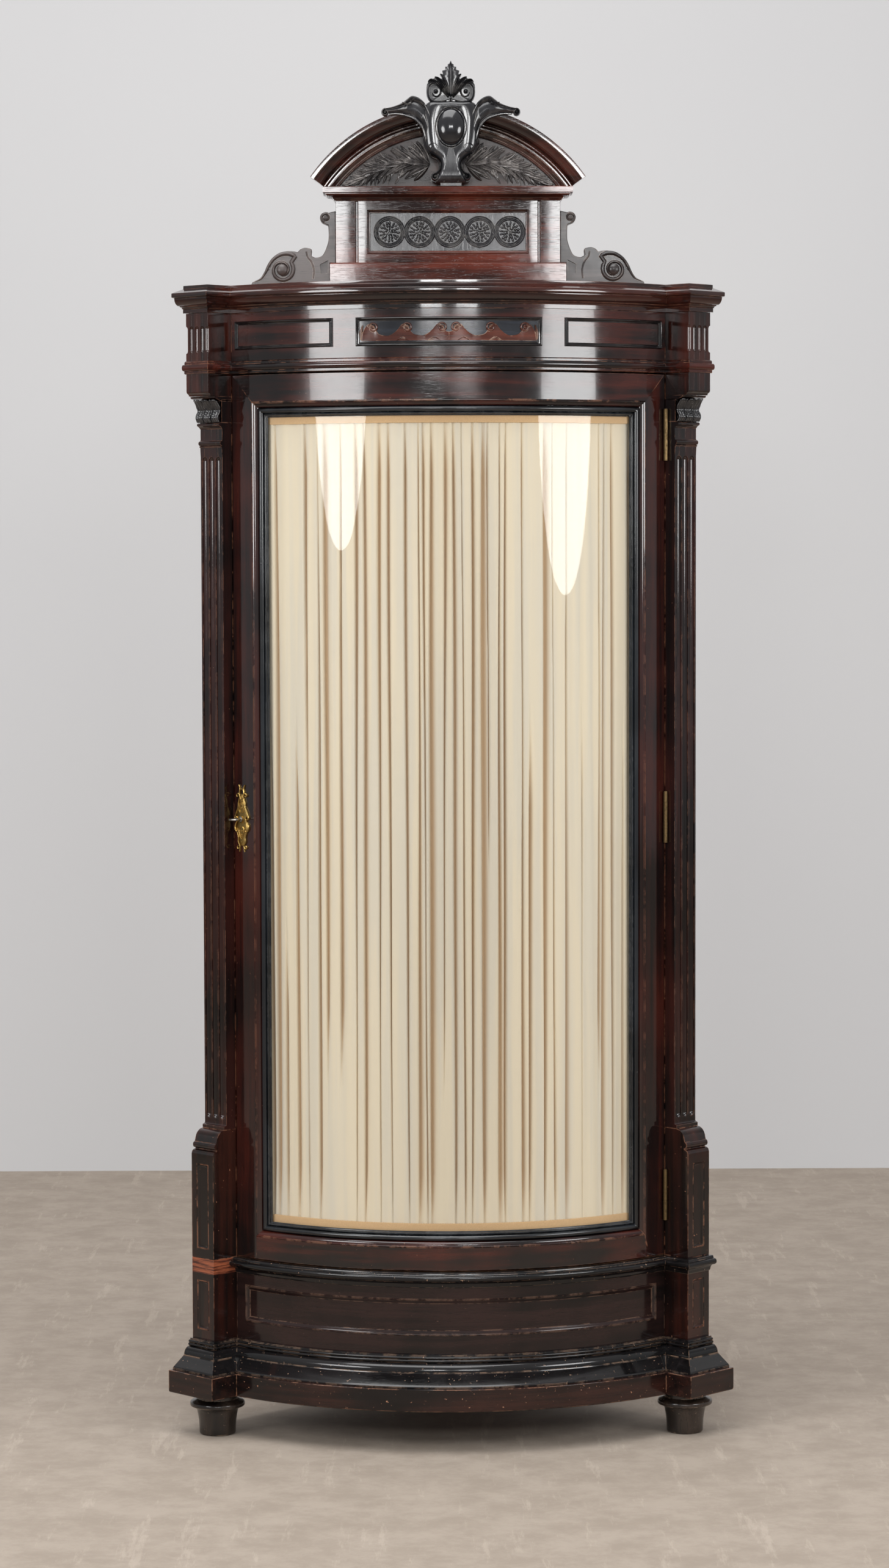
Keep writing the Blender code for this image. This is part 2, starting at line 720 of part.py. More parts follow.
def make_backs():
    bottom = PLINTH_TOP + BOARD_THICKNESS + SEAT_GAP
    top = CORNICE_BOTTOM
    corner_out = -BOW_RADIUS - BLOCK_WIDTH
    for side in (-1, 1):
        along = (-BLOCK_WIDTH, -BLOCK_WIDTH + BACK_THICKNESS)
        out = (corner_out + BACK_POST_WIDTH + SEAT_GAP, -POST_DEPTH - SEAT_GAP)
        low, high = (along[0], bottom, out[0]), (along[1], top, out[1])
        back = add(f"back_panel_{side_name(side)}", box(block(side, 0), low, high), "inner_wood")
        unite(back, joined([shelf_cleat(side, WAIST_TOP + rise) for rise in SHELF_RISES]))
    inner = corner_out + BACK_POST_WIDTH
    sides = [corner(1, -BLOCK_WIDTH, inner), corner(1, -BLOCK_WIDTH + BACK_THICKNESS, inner),
             corner(-1, -BLOCK_WIDTH + BACK_THICKNESS, inner), corner(-1, -BLOCK_WIDTH, inner)]
    flat = back_corner(0)
    add("back_post", board([flat[0]] + sides + [flat[1]], bottom, top), "inner_wood")


def make_dado():
    bottom = PLINTH_TOP + BOARD_THICKNESS + SEAT_GAP
    top = WAIST_TOP - BOARD_THICKNESS - SEAT_GAP
    half = HALF_ARC - SEAT_GAP
    panel_half = HALF_ARC - DADO_PANEL_MARGIN
    low = DADO_BOTTOM + DADO_PANEL_ABOVE
    high = low + DADO_PANEL_HEIGHT
    mould = PANEL_MOULDING
    steps = [(0, 0), (0.15, 0.0016), (0.4, 0.0016), (0.5, 0), (0.65, -0.0025), (1, -DADO_PANEL_RECESS)]
    rings = [(-half, half, bottom, top, -BOARD_THICKNESS), (-half, half, bottom, top, 0)]
    rings += [(-panel_half + mould * d, panel_half - mould * d, low + mould * d, high - mould * d, out)
              for d, out in steps]
    add("dado_board", panel(bow, rings), "dark_mahogany")


def make_waist():
    """The moulding under the door; its return round the left block is lost."""
    reach, height = WAIST_PROJECTION, WAIST_HEIGHT

    def at(share_out, share_up):
        return reach * share_out, WAIST_BOTTOM + height * share_up
    outer = [at(0.10, 0), at(0.20, 0.10)]
    outer += quarter(outer[-1], at(0.72, 0.42), hollow=True, steps=3)
    outer += [at(0.80, 0.46), at(0.95, 0.52), at(1.0, 0.64), at(0.95, 0.76), at(0.62, 0.80)]
    outer += [at(0.50, 0.98), at(0.45, 1)]
    profile = outer + [(SEAT_GAP, WAIST_TOP), (SEAT_GAP, WAIST_BOTTOM)]
    add("waist_moulding", sweep(profile, lambda out: front_line(out, left="bow")), "polished_mahogany")


def make_frieze():
    half = HALF_ARC - SEAT_GAP
    rings = [(-half, half, NECKING_BOTTOM, CORNICE_BOTTOM, out) for out in (-BOARD_THICKNESS, 0)]
    board_with_frames = add("frieze_board", panel(bow, rings), "polished_mahogany")
    unite(board_with_frames, joined(frieze_frames()))

    def at(share_out, share_up):
        return NECKING_PROJECTION * share_out, NECKING_BOTTOM + NECKING_HEIGHT * share_up
    outer = [at(0.30, 0), at(0.46, 0.06), at(0.46, 0.22), at(0.82, 0.28), at(1.0, 0.49), at(0.82, 0.70)]
    outer += [at(0.40, 0.76), at(0.40, 0.92), at(0.2, 1)]
    profile = outer + [(SEAT_GAP, FRIEZE_BOTTOM), (SEAT_GAP, NECKING_BOTTOM)]
    add("frieze_astragal", sweep(profile, front_line), "polished_mahogany")
    add("cornice", sweep(cornice_profile(), front_line), "polished_mahogany")
    add_wave_scroll()


def cornice_profile():
    reach, bottom, height = CORNICE_PROJECTION, CORNICE_BOTTOM, CORNICE_HEIGHT

    def at(share_out, share_up):
        return reach * share_out, bottom + height * share_up
    outer = [at(0.20, 0), at(0.20, 0.15), at(0.40, 0.16), at(0.41, 0.22), at(0.46, 0.25)]
    outer += quarter(outer[-1], at(0.80, 0.52), hollow=False, steps=3)
    outer += [at(1, 0.57), at(1, 0.68), at(0.94, 0.71)]
    outer += [at(0.24, 0.87), at(0.17, 0.88), at(0.17, 1)]
    return outer + [(SEAT_GAP, bottom + height), (SEAT_GAP, bottom)]


def frieze_frames():
    """Small mitred frames planted on the frieze."""
    bottom = FRIEZE_BOTTOM + FRIEZE_PANEL_ABOVE
    top = bottom + FRIEZE_PANEL_HEIGHT
    width, rise = FRAME_WIDTH, FRAME_PROJECTION
    profile = [(0, -SINK), (0, rise * 0.5), (width * 0.35, rise), (width * 0.65, rise * 0.55), (width, -SINK)]
    spans = [(-SIDE_PANEL_OUTER, -SIDE_PANEL_INNER), (-CENTRE_PANEL_HALF, CENTRE_PANEL_HALF),
             (SIDE_PANEL_INNER, SIDE_PANEL_OUTER)]
    return [frame(bow, BOW_RADIUS * a, BOW_RADIUS * b, bottom, top, profile) for a, b in spans]


def wave_path(side, eye, low, height, limit):
    """One wave: along the bottom from its outer side, up its back, over and into the spiral."""
    across, middle = eye, low + height * 0.68
    radius = height * 0.235
    path = [(across + height * 1.30, low + height * 0.12), (across + height * 0.80, low + height * 0.16)]
    path += [(across + height * 0.48, low + height * 0.26), (across + height * 0.30, middle - height * 0.18)]
    path = [(s, z) for s, z in path if s < limit]
    for i in range(7):
        angle = math.radians(5 + 60 * i)
        shrunk = radius * (1 - 0.11 * i)
        path.append((across + shrunk * math.cos(angle), middle + shrunk * math.sin(angle)))
    return [(side * s, z) for s, z in path]


def add_wave_scroll():
    """Running scroll that breaks towards the middle from both sides."""
    low = FRIEZE_BOTTOM + FRIEZE_PANEL_ABOVE + FRAME_WIDTH + SEAT_GAP
    height = FRIEZE_PANEL_HEIGHT - 2 * FRAME_WIDTH - 2 * SEAT_GAP
    half = BOW_RADIUS * CENTRE_PANEL_HALF - FRAME_WIDTH - SEAT_GAP
    ground = [(-half, half, low, low + height, out) for out in (SEAT_GAP, WAVE_GROUND)]
    scroll = add("wave_scroll", panel(bow, ground), "ebonised_wood")
    widths = [height * share for share in (0.15, 0.20, 0.24, 0.22, 0.17, 0.15, 0.14, 0.13, 0.12, 0.11, 0.08)]
    waves = []
    for side in (-1, 1):
        for number in range(WAVES_EACH_SIDE):
            eye = WAVE_PITCH * (number + 0.2)
            path = wave_path(side, eye, low, height, half - height * 0.08)
            waves.append(ribbon(bow, path, widths[-len(path):], SEAT_GAP * 2, WAVE_GROUND + WAVE_HEIGHT))
    unite(scroll, joined(waves))


# Pilasters between the dado and the frieze

def make_pilasters():
    die_bottom = WAIST_TOP + SEAT_GAP
    die_top = WAIST_TOP + UPPER_DIE_HEIGHT
    shaft_bottom = die_top + SCROLL_HEIGHT
    block_bottom = NECKING_BOTTOM - FRIEZE_BLOCK_DROP
    capital_bottom = block_bottom - CAPITAL_HEIGHT
    shaft_top = capital_bottom - COLLAR_HEIGHT - NECK_HEIGHT - ASTRAGAL_HEIGHT
    for side in (-1, 1):
        name = side_name(side)
        die = add(f"upper_die_{name}", upper_die(side, die_bottom, die_top, shaft_bottom), "polished_mahogany")
        panel_bottom = die_bottom + (die_top - die_bottom - UPPER_PANEL_HEIGHT) / 2
        cut(die, block_recess(side, panel_bottom, UPPER_PANEL_HEIGHT))
        shaft = pilaster(side, shaft_bottom + SEAT_GAP, shaft_top, capital_bottom)
        add(f"pilaster_{name}", shaft, "polished_mahogany")
        bell = capital(side, capital_bottom + SEAT_GAP, block_bottom - SEAT_GAP)
        add(f"capital_{name}", bell, "ebonised_wood",
            smooth=True)
        add(f"frieze_block_{name}", frieze_block(side, block_bottom), "polished_mahogany")


def upper_die(side, bottom, die_top, top):
    """A square die whose top rolls back to the shaft in a scroll."""
    face, shaft = BLOCK_PROJECTION, SHAFT_PROJECTION + SHAFT_BASE_PROJECTION
    rise = top - die_top
    outline = [(SEAT_GAP, bottom), (face, bottom), (face, die_top), (face - 0.003, die_top + rise * 0.04)]
    outline += [(face - 0.009, die_top + rise * 0.16), (face - 0.010, die_top + rise * 0.22)]
    outline += [(face - 0.004, die_top + rise * 0.30), (face - 0.0035, die_top + rise * 0.42)]
    outline += quarter((face - 0.006, die_top + rise * 0.52), (shaft, top), hollow=True, steps=5)
    outline += [(SEAT_GAP, top)]
    place = block(side, 0)
    return loft([[place(along, z, out) for out, z in outline] for along in (-BLOCK_WIDTH, 0)])


def flute_points(centre, radius, face, steps=4):
    """A half-round groove in a face, as (along, out) points from left to right."""
    return [(centre - radius * math.cos(a), face - radius * math.sin(a)) for a in spaced(0, math.pi, steps)]


def fluted_ring(place, z, face, flutes, radius, front, corners=False):
    """One level of a fluted bar: groove depth follows radius, and front is added to the face."""
    points = [(-BLOCK_WIDTH, SEAT_GAP)]
    edges = [flute_points(edge, radius, face + front) for edge in (-BLOCK_WIDTH, 0)]
    if corners:
        points += edges[0][2:]
    else:
        points.append((-BLOCK_WIDTH, face + front))
    for centre in flutes:
        points += flute_points(centre, radius, face + front)
    if corners:
        points += edges[1][:3]
    else:
        points.append((0, face + front))
    points.append((0, SEAT_GAP))
    return [place(along, z, out) for along, out in points]


def flute_levels(bottom, top, radius):
    """Heights and groove radii that round off the ends of the flutes."""
    ends = [(0.0, 0.04), (0.3, 0.72), (1.0, 1.0)]
    low = [(bottom + radius * t, radius * share) for t, share in ends]
    high = [(top - radius * t, radius * share) for t, share in reversed(ends)]
    return low + high


def pilaster(side, bottom, shaft_top, top):
    """Base moulding, fluted shaft, astragal, neck and collar in one length."""
    pitch = BLOCK_WIDTH / (FLUTE_COUNT + 0.25)
    flutes = [-BLOCK_WIDTH / 2 + pitch * (i - (FLUTE_COUNT - 1) / 2) for i in range(FLUTE_COUNT)]
    tiny = FLUTE_RADIUS * 0.04
    base_top = bottom + SHAFT_BASE_HEIGHT
    levels = [(bottom, tiny, SHAFT_BASE_PROJECTION), (base_top - 0.004, tiny, SHAFT_BASE_PROJECTION)]
    levels += [(base_top, tiny, 0)]
    flute_bottom, flute_top = base_top + FLUTE_MARGIN_LOW, shaft_top - FLUTE_MARGIN_HIGH
    levels += [(z, r, 0) for z, r in flute_levels(flute_bottom, flute_top, FLUTE_RADIUS)]
    astragal_top = shaft_top + ASTRAGAL_HEIGHT
    neck_top = astragal_top + NECK_HEIGHT
    levels += [(shaft_top, tiny, 0), (shaft_top + 0.004, tiny, 0.004)]
    levels += [(shaft_top + 0.009, tiny, 0.0065), (astragal_top - 0.002, tiny, 0.005), (astragal_top, tiny, 0)]
    levels += [(neck_top, tiny, 0), (neck_top + 0.003, tiny, 0.005), (neck_top + 0.008, tiny, 0.0085)]
    levels.append((top, tiny, 0.006))
    place = block(side, 0)
    return loft([fluted_ring(place, z, SHAFT_PROJECTION, flutes, radius, front) for z, radius, front in levels])


def frieze_block(side, bottom):
    """The block above the capital, fluted between astragal and cornice."""
    bottom_flute = FRIEZE_BOTTOM + FRIEZE_FLUTE_ABOVE
    flutes = [-BLOCK_WIDTH * share for share in (0.75, 0.50, 0.25)]
    tiny = FRIEZE_FLUTE_RADIUS * 0.04
    levels = [(bottom, tiny, -0.005), (bottom + 0.006, tiny, -0.0015), (bottom + 0.008, tiny, 0)]
    top_flute = bottom_flute + FRIEZE_FLUTE_HEIGHT
    levels += [(z, r, 0) for z, r in flute_levels(bottom_flute, top_flute, FRIEZE_FLUTE_RADIUS)]
    levels += [(CORNICE_BOTTOM, tiny, 0)]
    place = block(side, 0)
    return loft([fluted_ring(place, z, BLOCK_PROJECTION, flutes, radius, front, True)
                 for z, radius, front in levels])


def capital(side, bottom, top):
    """Three upright leaves whose tips curl out, before a plain bell with a square rim."""
    place = block(side, 0)
    across_leaf = [0, 0.80, 1.0, 0.88, 1.0, 0.80]
    levels = [(0, 0.12, 0.20), (0.10, 0.14, 0.40), (0.28, 0.14, 0.44), (0.46, 0.16, 0.50), (0.62, 0.20, 0.68)]
    levels += [(0.75, 0.26, 1.0), (0.84, 0.34, 0.96), (0.88, 0.42, 0.50), (0.90, 0.62, 0.62)]
    levels.append((1.0, 0.62, 0.62))
    columns = CAPITAL_LEAVES * len(across_leaf)
    rings = []
    for up, bell, leaf_out in levels:
        z = bottom + (top - bottom) * up
        points = [(-BLOCK_WIDTH, SEAT_GAP)]
        for i in range(columns + 1):
            flare = bell + (leaf_out - bell) * across_leaf[i % len(across_leaf)]
            points.append((-BLOCK_WIDTH * (1 - i / columns), SHAFT_PROJECTION + CAPITAL_FLARE * flare))
        points.append((0, SEAT_GAP))
        rings.append([place(along, z, out) for along, out in points])
    return loft(rings)


# Door

def door_section(width):
    """Stile or rail section: (distance in from the outer edge, out)."""
    inner = width + STICKING_WIDTH
    rebate = inner - REBATE_WIDTH
    flat = [(0, 0), (width, 0)]
    sticking = [(width + 0.001, -0.0006), (width + 0.0018, 0.0007), (width + 0.0034, -0.0008)]
    cove = quarter(sticking[-1], (inner, -STICKING_DEPTH), hollow=False, steps=2)
    back = [(inner, -REBATE_DEPTH), (rebate, -REBATE_DEPTH), (rebate, -DOOR_THICKNESS)]
    return flat + sticking + cove + back + [(0, -DOOR_THICKNESS)]


def door_stile(side):
    """A curved stile, mitred at the top and notched over the bottom rail."""
    rings = [[], []]
    for inward, out in door_section(STILE_WIDTH):
        along = side * (DOOR_HALF_ARC - inward)
        rings[0].append(bow(along, DOOR_BOTTOM, out))
        rings[1].append(bow(along, DOOR_TOP - inward * TOP_RAIL_WIDTH / STILE_WIDTH - SEAT_GAP, out))
    return loft(rings)


def rail_notch(side):
    """What a stile loses to the bottom rail: square to the rail's edge, then mitred."""
    mitre = STICKING_WIDTH + CUT_OVERRUN
    high = DOOR_BOTTOM + BOTTOM_RAIL_WIDTH
    near = STILE_WIDTH - SEAT_GAP
    outline = [(near, DOOR_BOTTOM - CUT_OVERRUN), (STILE_WIDTH + mitre, DOOR_BOTTOM - CUT_OVERRUN),
               (STILE_WIDTH + mitre, high + mitre), (near, high - SEAT_GAP)]
    outline = [(side * (DOOR_HALF_ARC - inward), z) for inward, z in outline]
    return prism(bow, outline, -DOOR_THICKNESS - CUT_OVERRUN, CUT_OVERRUN)


def door_rail(top):
    """A curved rail: the top one is mitred, the bottom one stands between the stiles."""
    width = TOP_RAIL_WIDTH if top else BOTTOM_RAIL_WIDTH
    facets = between(-DOOR_HALF_ARC, DOOR_HALF_ARC)
    lines = []
    for inward, out in door_section(width):
        if top:
            end = DOOR_HALF_ARC - inward * STILE_WIDTH / TOP_RAIL_WIDTH - SEAT_GAP
            z = DOOR_TOP - inward
        else:
            end = DOOR_HALF_ARC - STILE_WIDTH - max(inward - width + SEAT_GAP, 0)
            z = DOOR_BOTTOM + inward
        lines.append([bow(along, z, out) for along in clipped(facets, -end, end)])
    return loft([[line[j] for line in lines] for j in range(len(lines[0]))])


def sight(inset_by):
    """The door's opening inside the sticking, as (left, right, bottom, top)."""
    half = DOOR_HALF_ARC - STILE_WIDTH - STICKING_WIDTH - inset_by
    return (-half, half, DOOR_BOTTOM + BOTTOM_RAIL_WIDTH + STICKING_WIDTH + inset_by,
            DOOR_TOP - TOP_RAIL_WIDTH - STICKING_WIDTH - inset_by)


def glazing_profile():
    """A broad reed, a small reed and a step, in front of the glass."""
    width, base = GLAZING_WIDTH, -REBATE_DEPTH
    broad = circle((width * 0.29, -0.0078), width * 0.29, 180, 20, 4)
    small = circle((width * 0.74, -0.0104), width * 0.15, 150, 10, 2)
    return [(0, base)] + broad + small + [(width, -0.0127), (width, base)]


def make_door(hinge):
    for side, name in ((-1, "lock"), (1, "hinge")):
        stile = add(f"door_stile_{name}", door_stile(side), "polished_mahogany", hinge)
        cut(stile, rail_notch(side))
        if side < 0:
            cut(stile, box(lock_place, *case_room()), *keyhole(-DOOR_THICKNESS, CUT_OVERRUN))
        else:
            for z in HINGE_HEIGHTS:
                cut(stile, box(block(side, 0), *leaf_room(z, 1)))
    add("door_rail_top", door_rail(True), "polished_mahogany", hinge)
    add("door_rail_bottom", door_rail(False), "polished_mahogany", hinge)
    add("glazing_moulding", frame(bow, *sight(SEAT_GAP), glazing_profile()), "ebonised_wood", hinge,
        smooth=True)
    glass = [(*sight(-REBATE_WIDTH + SEAT_GAP * 2), -GLASS_FACE - GLASS_THICKNESS),
             (*sight(-REBATE_WIDTH + SEAT_GAP * 2), -GLASS_FACE)]
    add("glass", panel(bow, glass), "window_glass", hinge)
    add("curtain", curtain(), "cream_cloth", hinge, smooth=True)
    add_curtain_rods(hinge)


def curtain():
    """Cloth gathered into upright folds that drift a little from top to bottom."""
    left, right, bottom, top = sight(-CURTAIN_OVERLAP)
    count = CURTAIN_FOLDS * POINTS_PER_FOLD
    levels = spaced(bottom, top, 2)
    faces_of = []
    for sheet in (CURTAIN_THICKNESS / 2, -CURTAIN_THICKNESS / 2):
        for level, z in enumerate(levels):
            row = []
            for i, along in enumerate(spaced(left, right, count)):
                drift = 0.5 * math.sin(i * 0.11 + level * 1.7)
                fold = math.sin(2 * math.pi * i / POINTS_PER_FOLD + drift)
                swell = 1 - 0.35 * math.sin(i * 0.37 + level)
                row.append(bow(along, z, -CURTAIN_SETBACK + sheet + CURTAIN_FOLD_DEPTH * 0.74 * fold * swell))
            faces_of.append(row)
    rows = len(levels)
    rings = [[faces_of[r][i] for r in range(rows)] + [faces_of[rows + r][i] for r in reversed(range(rows))]
             for i in range(count + 1)]
    return loft(rings)


def add_curtain_rods(hinge):
    """A bent rod below and above, its ends turned to the stiles."""
    left, right, bottom, top = sight(-CURTAIN_OVERLAP)
    reach = DOOR_HALF_ARC - STILE_WIDTH / 2
    for name, z in (("bottom", bottom + ROD_INSET), ("top", top - ROD_INSET)):
        path = [bow(-reach, z, -DOOR_THICKNESS - SEAT_GAP), bow(-reach, z, -ROD_SETBACK + ROD_RADIUS)]
        stations = spaced(-reach + ROD_RADIUS, reach - ROD_RADIUS, ROD_COLUMNS)
        path += [bow(along, z, -ROD_SETBACK) for along in stations]
        path += [bow(reach, z, -ROD_SETBACK + ROD_RADIUS), bow(reach, z, -DOOR_THICKNESS - SEAT_GAP)]
        add(f"curtain_rod_{name}", tube(path, ROD_RADIUS, 6), "brass", hinge, smooth=True)


# Hinges: the fixed leaf is let into the post, the moving one into the stile

def leaf_room(z, way):
    """The sinking for a leaf, in the post (way -1) or in the stile (way 1)."""
    edge = 0 if way < 0 else DOOR_GAP
    deep = edge + way * (LEAF_THICKNESS + SEAT_GAP)
    shallow = edge - way * CUT_OVERRUN * 0.2
    half = HINGE_LENGTH / 2 + SEAT_GAP
    return ((min(deep, shallow), z - half, -LEAF_DEPTH - LEAF_SETBACK - SEAT_GAP),
            (max(deep, shallow), z + half, CUT_OVERRUN))


def hinge_leaf(z, way):
    """The plate of a leaf, let in flush."""
    edge = 0 if way < 0 else DOOR_GAP
    plate = sorted((edge, edge + way * LEAF_THICKNESS))
    half = HINGE_LENGTH / 2
    back = -LEAF_DEPTH - LEAF_SETBACK
    return box(block(1, 0), (plate[0], z - half, back), (plate[1], z + half, -LEAF_SETBACK))


def knuckle_levels(z, way):
    """Bottoms and tops of the knuckles of one leaf."""
    pitch = HINGE_LENGTH / KNUCKLES
    low = z - HINGE_LENGTH / 2
    return [(low + pitch * i + SEAT_GAP / 2, low + pitch * (i + 1) - SEAT_GAP / 2)
            for i in range(KNUCKLES) if (i % 2 == 0) == (way < 0)]


def knuckle(bottom, top, way):
    """A knuckle with the strap that rolls out of its leaf."""
    strap = -LEAF_SETBACK - SINK
    near, far = LEAF_THICKNESS * 0.1, LEAF_THICKNESS * 0.9
    centre = (AXIS_IN, AXIS_OUT)
    if way < 0:
        outline = [(-far, strap), (-near, strap), (DOOR_GAP - SEAT_GAP, -SEAT_GAP)]
        outline += circle(centre, KNUCKLE_RADIUS, -110, 200, KNUCKLE_SIDES)
        outline.append((SEAT_GAP, -SEAT_GAP))
    else:
        outline = [(DOOR_GAP + near, strap), (DOOR_GAP + far, strap), (DOOR_GAP + LEAF_THICKNESS, SEAT_GAP)]
        outline += circle(centre, KNUCKLE_RADIUS, -80, 255, KNUCKLE_SIDES)
    return loft([[(*corner(1, along, out), z) for along, out in outline] for z in (bottom, top)])


def make_hinges(hinge):
    """Three butt hinges; the pin is fast in the post's knuckles and free in the door's."""
    for name, z in zip(("low", "middle", "high"), HINGE_HEIGHTS):
        for way, place, parent in ((-1, "post", None), (1, "door", hinge)):
            leaf_plate = add(f"hinge_{name}_{place}", hinge_leaf(z, way), "brass", parent)
            unite(leaf_plate, joined([knuckle(*level, way) for level in knuckle_levels(z, way)]))
            half = HINGE_LENGTH / 2
            if way < 0:
                head = KNUCKLE_RADIUS * 0.8
                top = z + half - SINK
                pin = [(PIN_RADIUS, z - half + SINK * 2), (PIN_RADIUS, top), (head, top),
                       (head, z + half + 0.0012), (PIN_RADIUS, z + half + 0.002)]
                unite(leaf_plate, turned(corner(1, AXIS_IN, AXIS_OUT), pin, PIN_SIDES))
            else:
                bore = PIN_RADIUS + PIN_CLEARANCE
                bore_line = [(bore, z - half), (bore, z + half)]
                cut(leaf_plate, turned(corner(1, AXIS_IN, AXIS_OUT), bore_line, PIN_SIDES))


# Lock, key and escutcheon

def case_span():
    """The lock case along the door: from near the door's edge towards the middle."""
    edge = -LOCK_FROM_EDGE + DOOR_GAP + LOCK_CASE_SETBACK
    return edge, edge + LOCK_CASE_LENGTH


def case_room():
    left, right = case_span()
    half = LOCK_CASE_HEIGHT / 2 + SEAT_GAP
    return ((left - CUT_OVERRUN, LOCK_Z - half, -DOOR_THICKNESS - CUT_OVERRUN),
            (right + SEAT_GAP, LOCK_Z + half, -DOOR_THICKNESS + LOCK_CASE_DEPTH + SEAT_GAP))


def bolt_middle():
    """Height and depth of the bolt's middle."""
    return LOCK_Z + BOLT_RISE, -DOOR_THICKNESS + LOCK_CASE_DEPTH / 2


def bolt_box(grow, left, right):
    z, out = bolt_middle()
    return ((left, z - BOLT_HEIGHT / 2 - grow, out - BOLT_THICKNESS / 2 - grow),
            (right, z + BOLT_HEIGHT / 2 + grow, out + BOLT_THICKNESS / 2 + grow))


def bolt_room():
    """The mortise in the post that the thrown bolt enters."""
    return bolt_box(0.0012, -LOCK_FROM_EDGE - BOLT_THROW - 0.003, -LOCK_FROM_EDGE + CUT_OVERRUN)


def strike_room():
    z, out = bolt_middle()
    half, wide = STRIKE_HEIGHT / 2 + SEAT_GAP, STRIKE_WIDTH / 2 + SEAT_GAP
    return ((-LOCK_FROM_EDGE - STRIKE_THICKNESS - 0.0012, z - half, out - wide),
            (-LOCK_FROM_EDGE + CUT_OVERRUN, z + half, out + wide))


def keyhole(low, high):
    """The hole for the key: a round top and a slot for its bit."""
    hole = circle((0, LOCK_Z), KEYHOLE_RADIUS, -90, 270, 12)[:-1]
    half = KEY_BIT_THICKNESS / 2 + 0.0008
    foot = LOCK_Z - KEY_BIT_LENGTH - 0.001
    slot = [(-half, foot), (half, foot), (half, LOCK_Z), (-half, LOCK_Z)]
    return prism(lock_place, hole, low, high), prism(lock_place, slot, low, high)


def make_lock(hinge, key_pivot, bolt_pivot):
    left, right = case_span()
    half = LOCK_CASE_HEIGHT / 2
    back, front = -DOOR_THICKNESS, -DOOR_THICKNESS + LOCK_CASE_DEPTH
    wall = LOCK_CASE_WALL
    low, high = LOCK_Z - half, LOCK_Z + half
    case = add("lock_case", box(lock_place, (left, low, back), (right, high, front)), "brass", hinge)
    cavity = box(lock_place, (left + wall, low + wall, back + wall), (right - wall, high - wall, front - wall))
    slot = box(lock_place, *bolt_box(0.0004, left - CUT_OVERRUN, left + wall * 2))
    cut(case, cavity, slot, *keyhole(front - wall * 1.5, front + CUT_OVERRUN))
    add("lock_bolt", box(lock_place, *bolt_box(0, left, left + BOLT_LENGTH)), "steel", bolt_pivot)
    z, out = bolt_middle()
    face = -LOCK_FROM_EDGE - STRIKE_THICKNESS - 0.0006
    strike = box(lock_place, (face, z - STRIKE_HEIGHT / 2, out - STRIKE_WIDTH / 2),
                 (face + STRIKE_THICKNESS, z + STRIKE_HEIGHT / 2, out + STRIKE_WIDTH / 2))
    opening = box(lock_place, *bolt_box(0.0009, face - CUT_OVERRUN, face + CUT_OVERRUN))
    cut(add("strike_plate", strike, "brass"), opening)
    add_escutcheon(hinge)
    add_key(key_pivot)


def add_escutcheon(hinge):
    """A long cast plate of scrolls, widest at the keyhole."""
    half = ESCUTCHEON_HEIGHT / 2
    wide = ESCUTCHEON_HALF_WIDTH
    shares = [(0.10, 1.0), (0.22, 0.985), (0.40, 0.90), (0.44, 0.80), (0.36, 0.72), (0.62, 0.60), (0.66, 0.46),
              (0.56, 0.36), (0.86, 0.26), (1.0, 0.12), (0.96, 0.0)]
    upper = [(wide * w, LOCK_Z + half * h) for w, h in shares]
    lower = [(wide * w * 0.94, LOCK_Z - half * h) for w, h in reversed(shares[:-1])]
    right = list(reversed(upper + lower))
    outline = right + mirrored(right)
    shape = eased(lock_place, outline, SEAT_GAP, ESCUTCHEON_THICKNESS, 0.0008)
    plate = add("escutcheon", shape, "gilt_metal", hinge)
    cut(plate, *keyhole(-CUT_OVERRUN, ESCUTCHEON_THICKNESS + CUT_OVERRUN))


def add_key(key_pivot):
    """Round shank, bit inside the case, and a ring bow that lies level."""
    reach = KEY_PROTRUSION - BOW_RING_RADIUS
    inner_end = -DOOR_THICKNESS + LOCK_CASE_WALL + SEAT_GAP

    def along_key(a, z, out):
        return lock_place(a, LOCK_Z + z, out)
    shank = boss(along_key, (0, 0), [(KEY_SHANK_RADIUS, inner_end), (KEY_SHANK_RADIUS, 0.0042),
                                     (KEY_SHANK_RADIUS * 1.7, 0.0048), (KEY_SHANK_RADIUS * 1.7, 0.0072),
                                     (KEY_SHANK_RADIUS, 0.0078), (KEY_SHANK_RADIUS * 0.9, reach - 0.0025)], 12)
    key = add("key", shank, "steel", key_pivot, smooth=True)
    middle = bolt_middle()[1]
    bit = box(along_key, (0, -KEY_BIT_THICKNESS / 2, middle - KEY_BIT_DEPTH / 2),
              (KEY_BIT_LENGTH, KEY_BIT_THICKNESS / 2, middle + KEY_BIT_DEPTH / 2))
    rings = []
    for turn in spaced(0, 2 * math.pi * 13 / 14, 13):
        ring = []
        for a in spaced(0, 2 * math.pi * 4 / 5, 4):
            wide = BOW_RING_RADIUS + BOW_RING_THICKNESS * 0.9 * (math.cos(a) - 1)
            ring.append(along_key(1.15 * wide * math.cos(turn), BOW_RING_THICKNESS * 0.75 * math.sin(a),
                                  reach + wide * math.sin(turn)))
        rings.append(ring)
    unite(key, bit, loft(rings, closed=True))


# Shelves

def make_shelves():
    for name, rise in zip(("shelf_lower", "shelf_upper"), SHELF_RISES):
        bottom = WAIST_TOP + rise
        plan = inner_plan(-SHELF_SETBACK, SHELF_CLEARANCE)
        add(name, board(plan, bottom, bottom + BOARD_THICKNESS), "inner_wood")


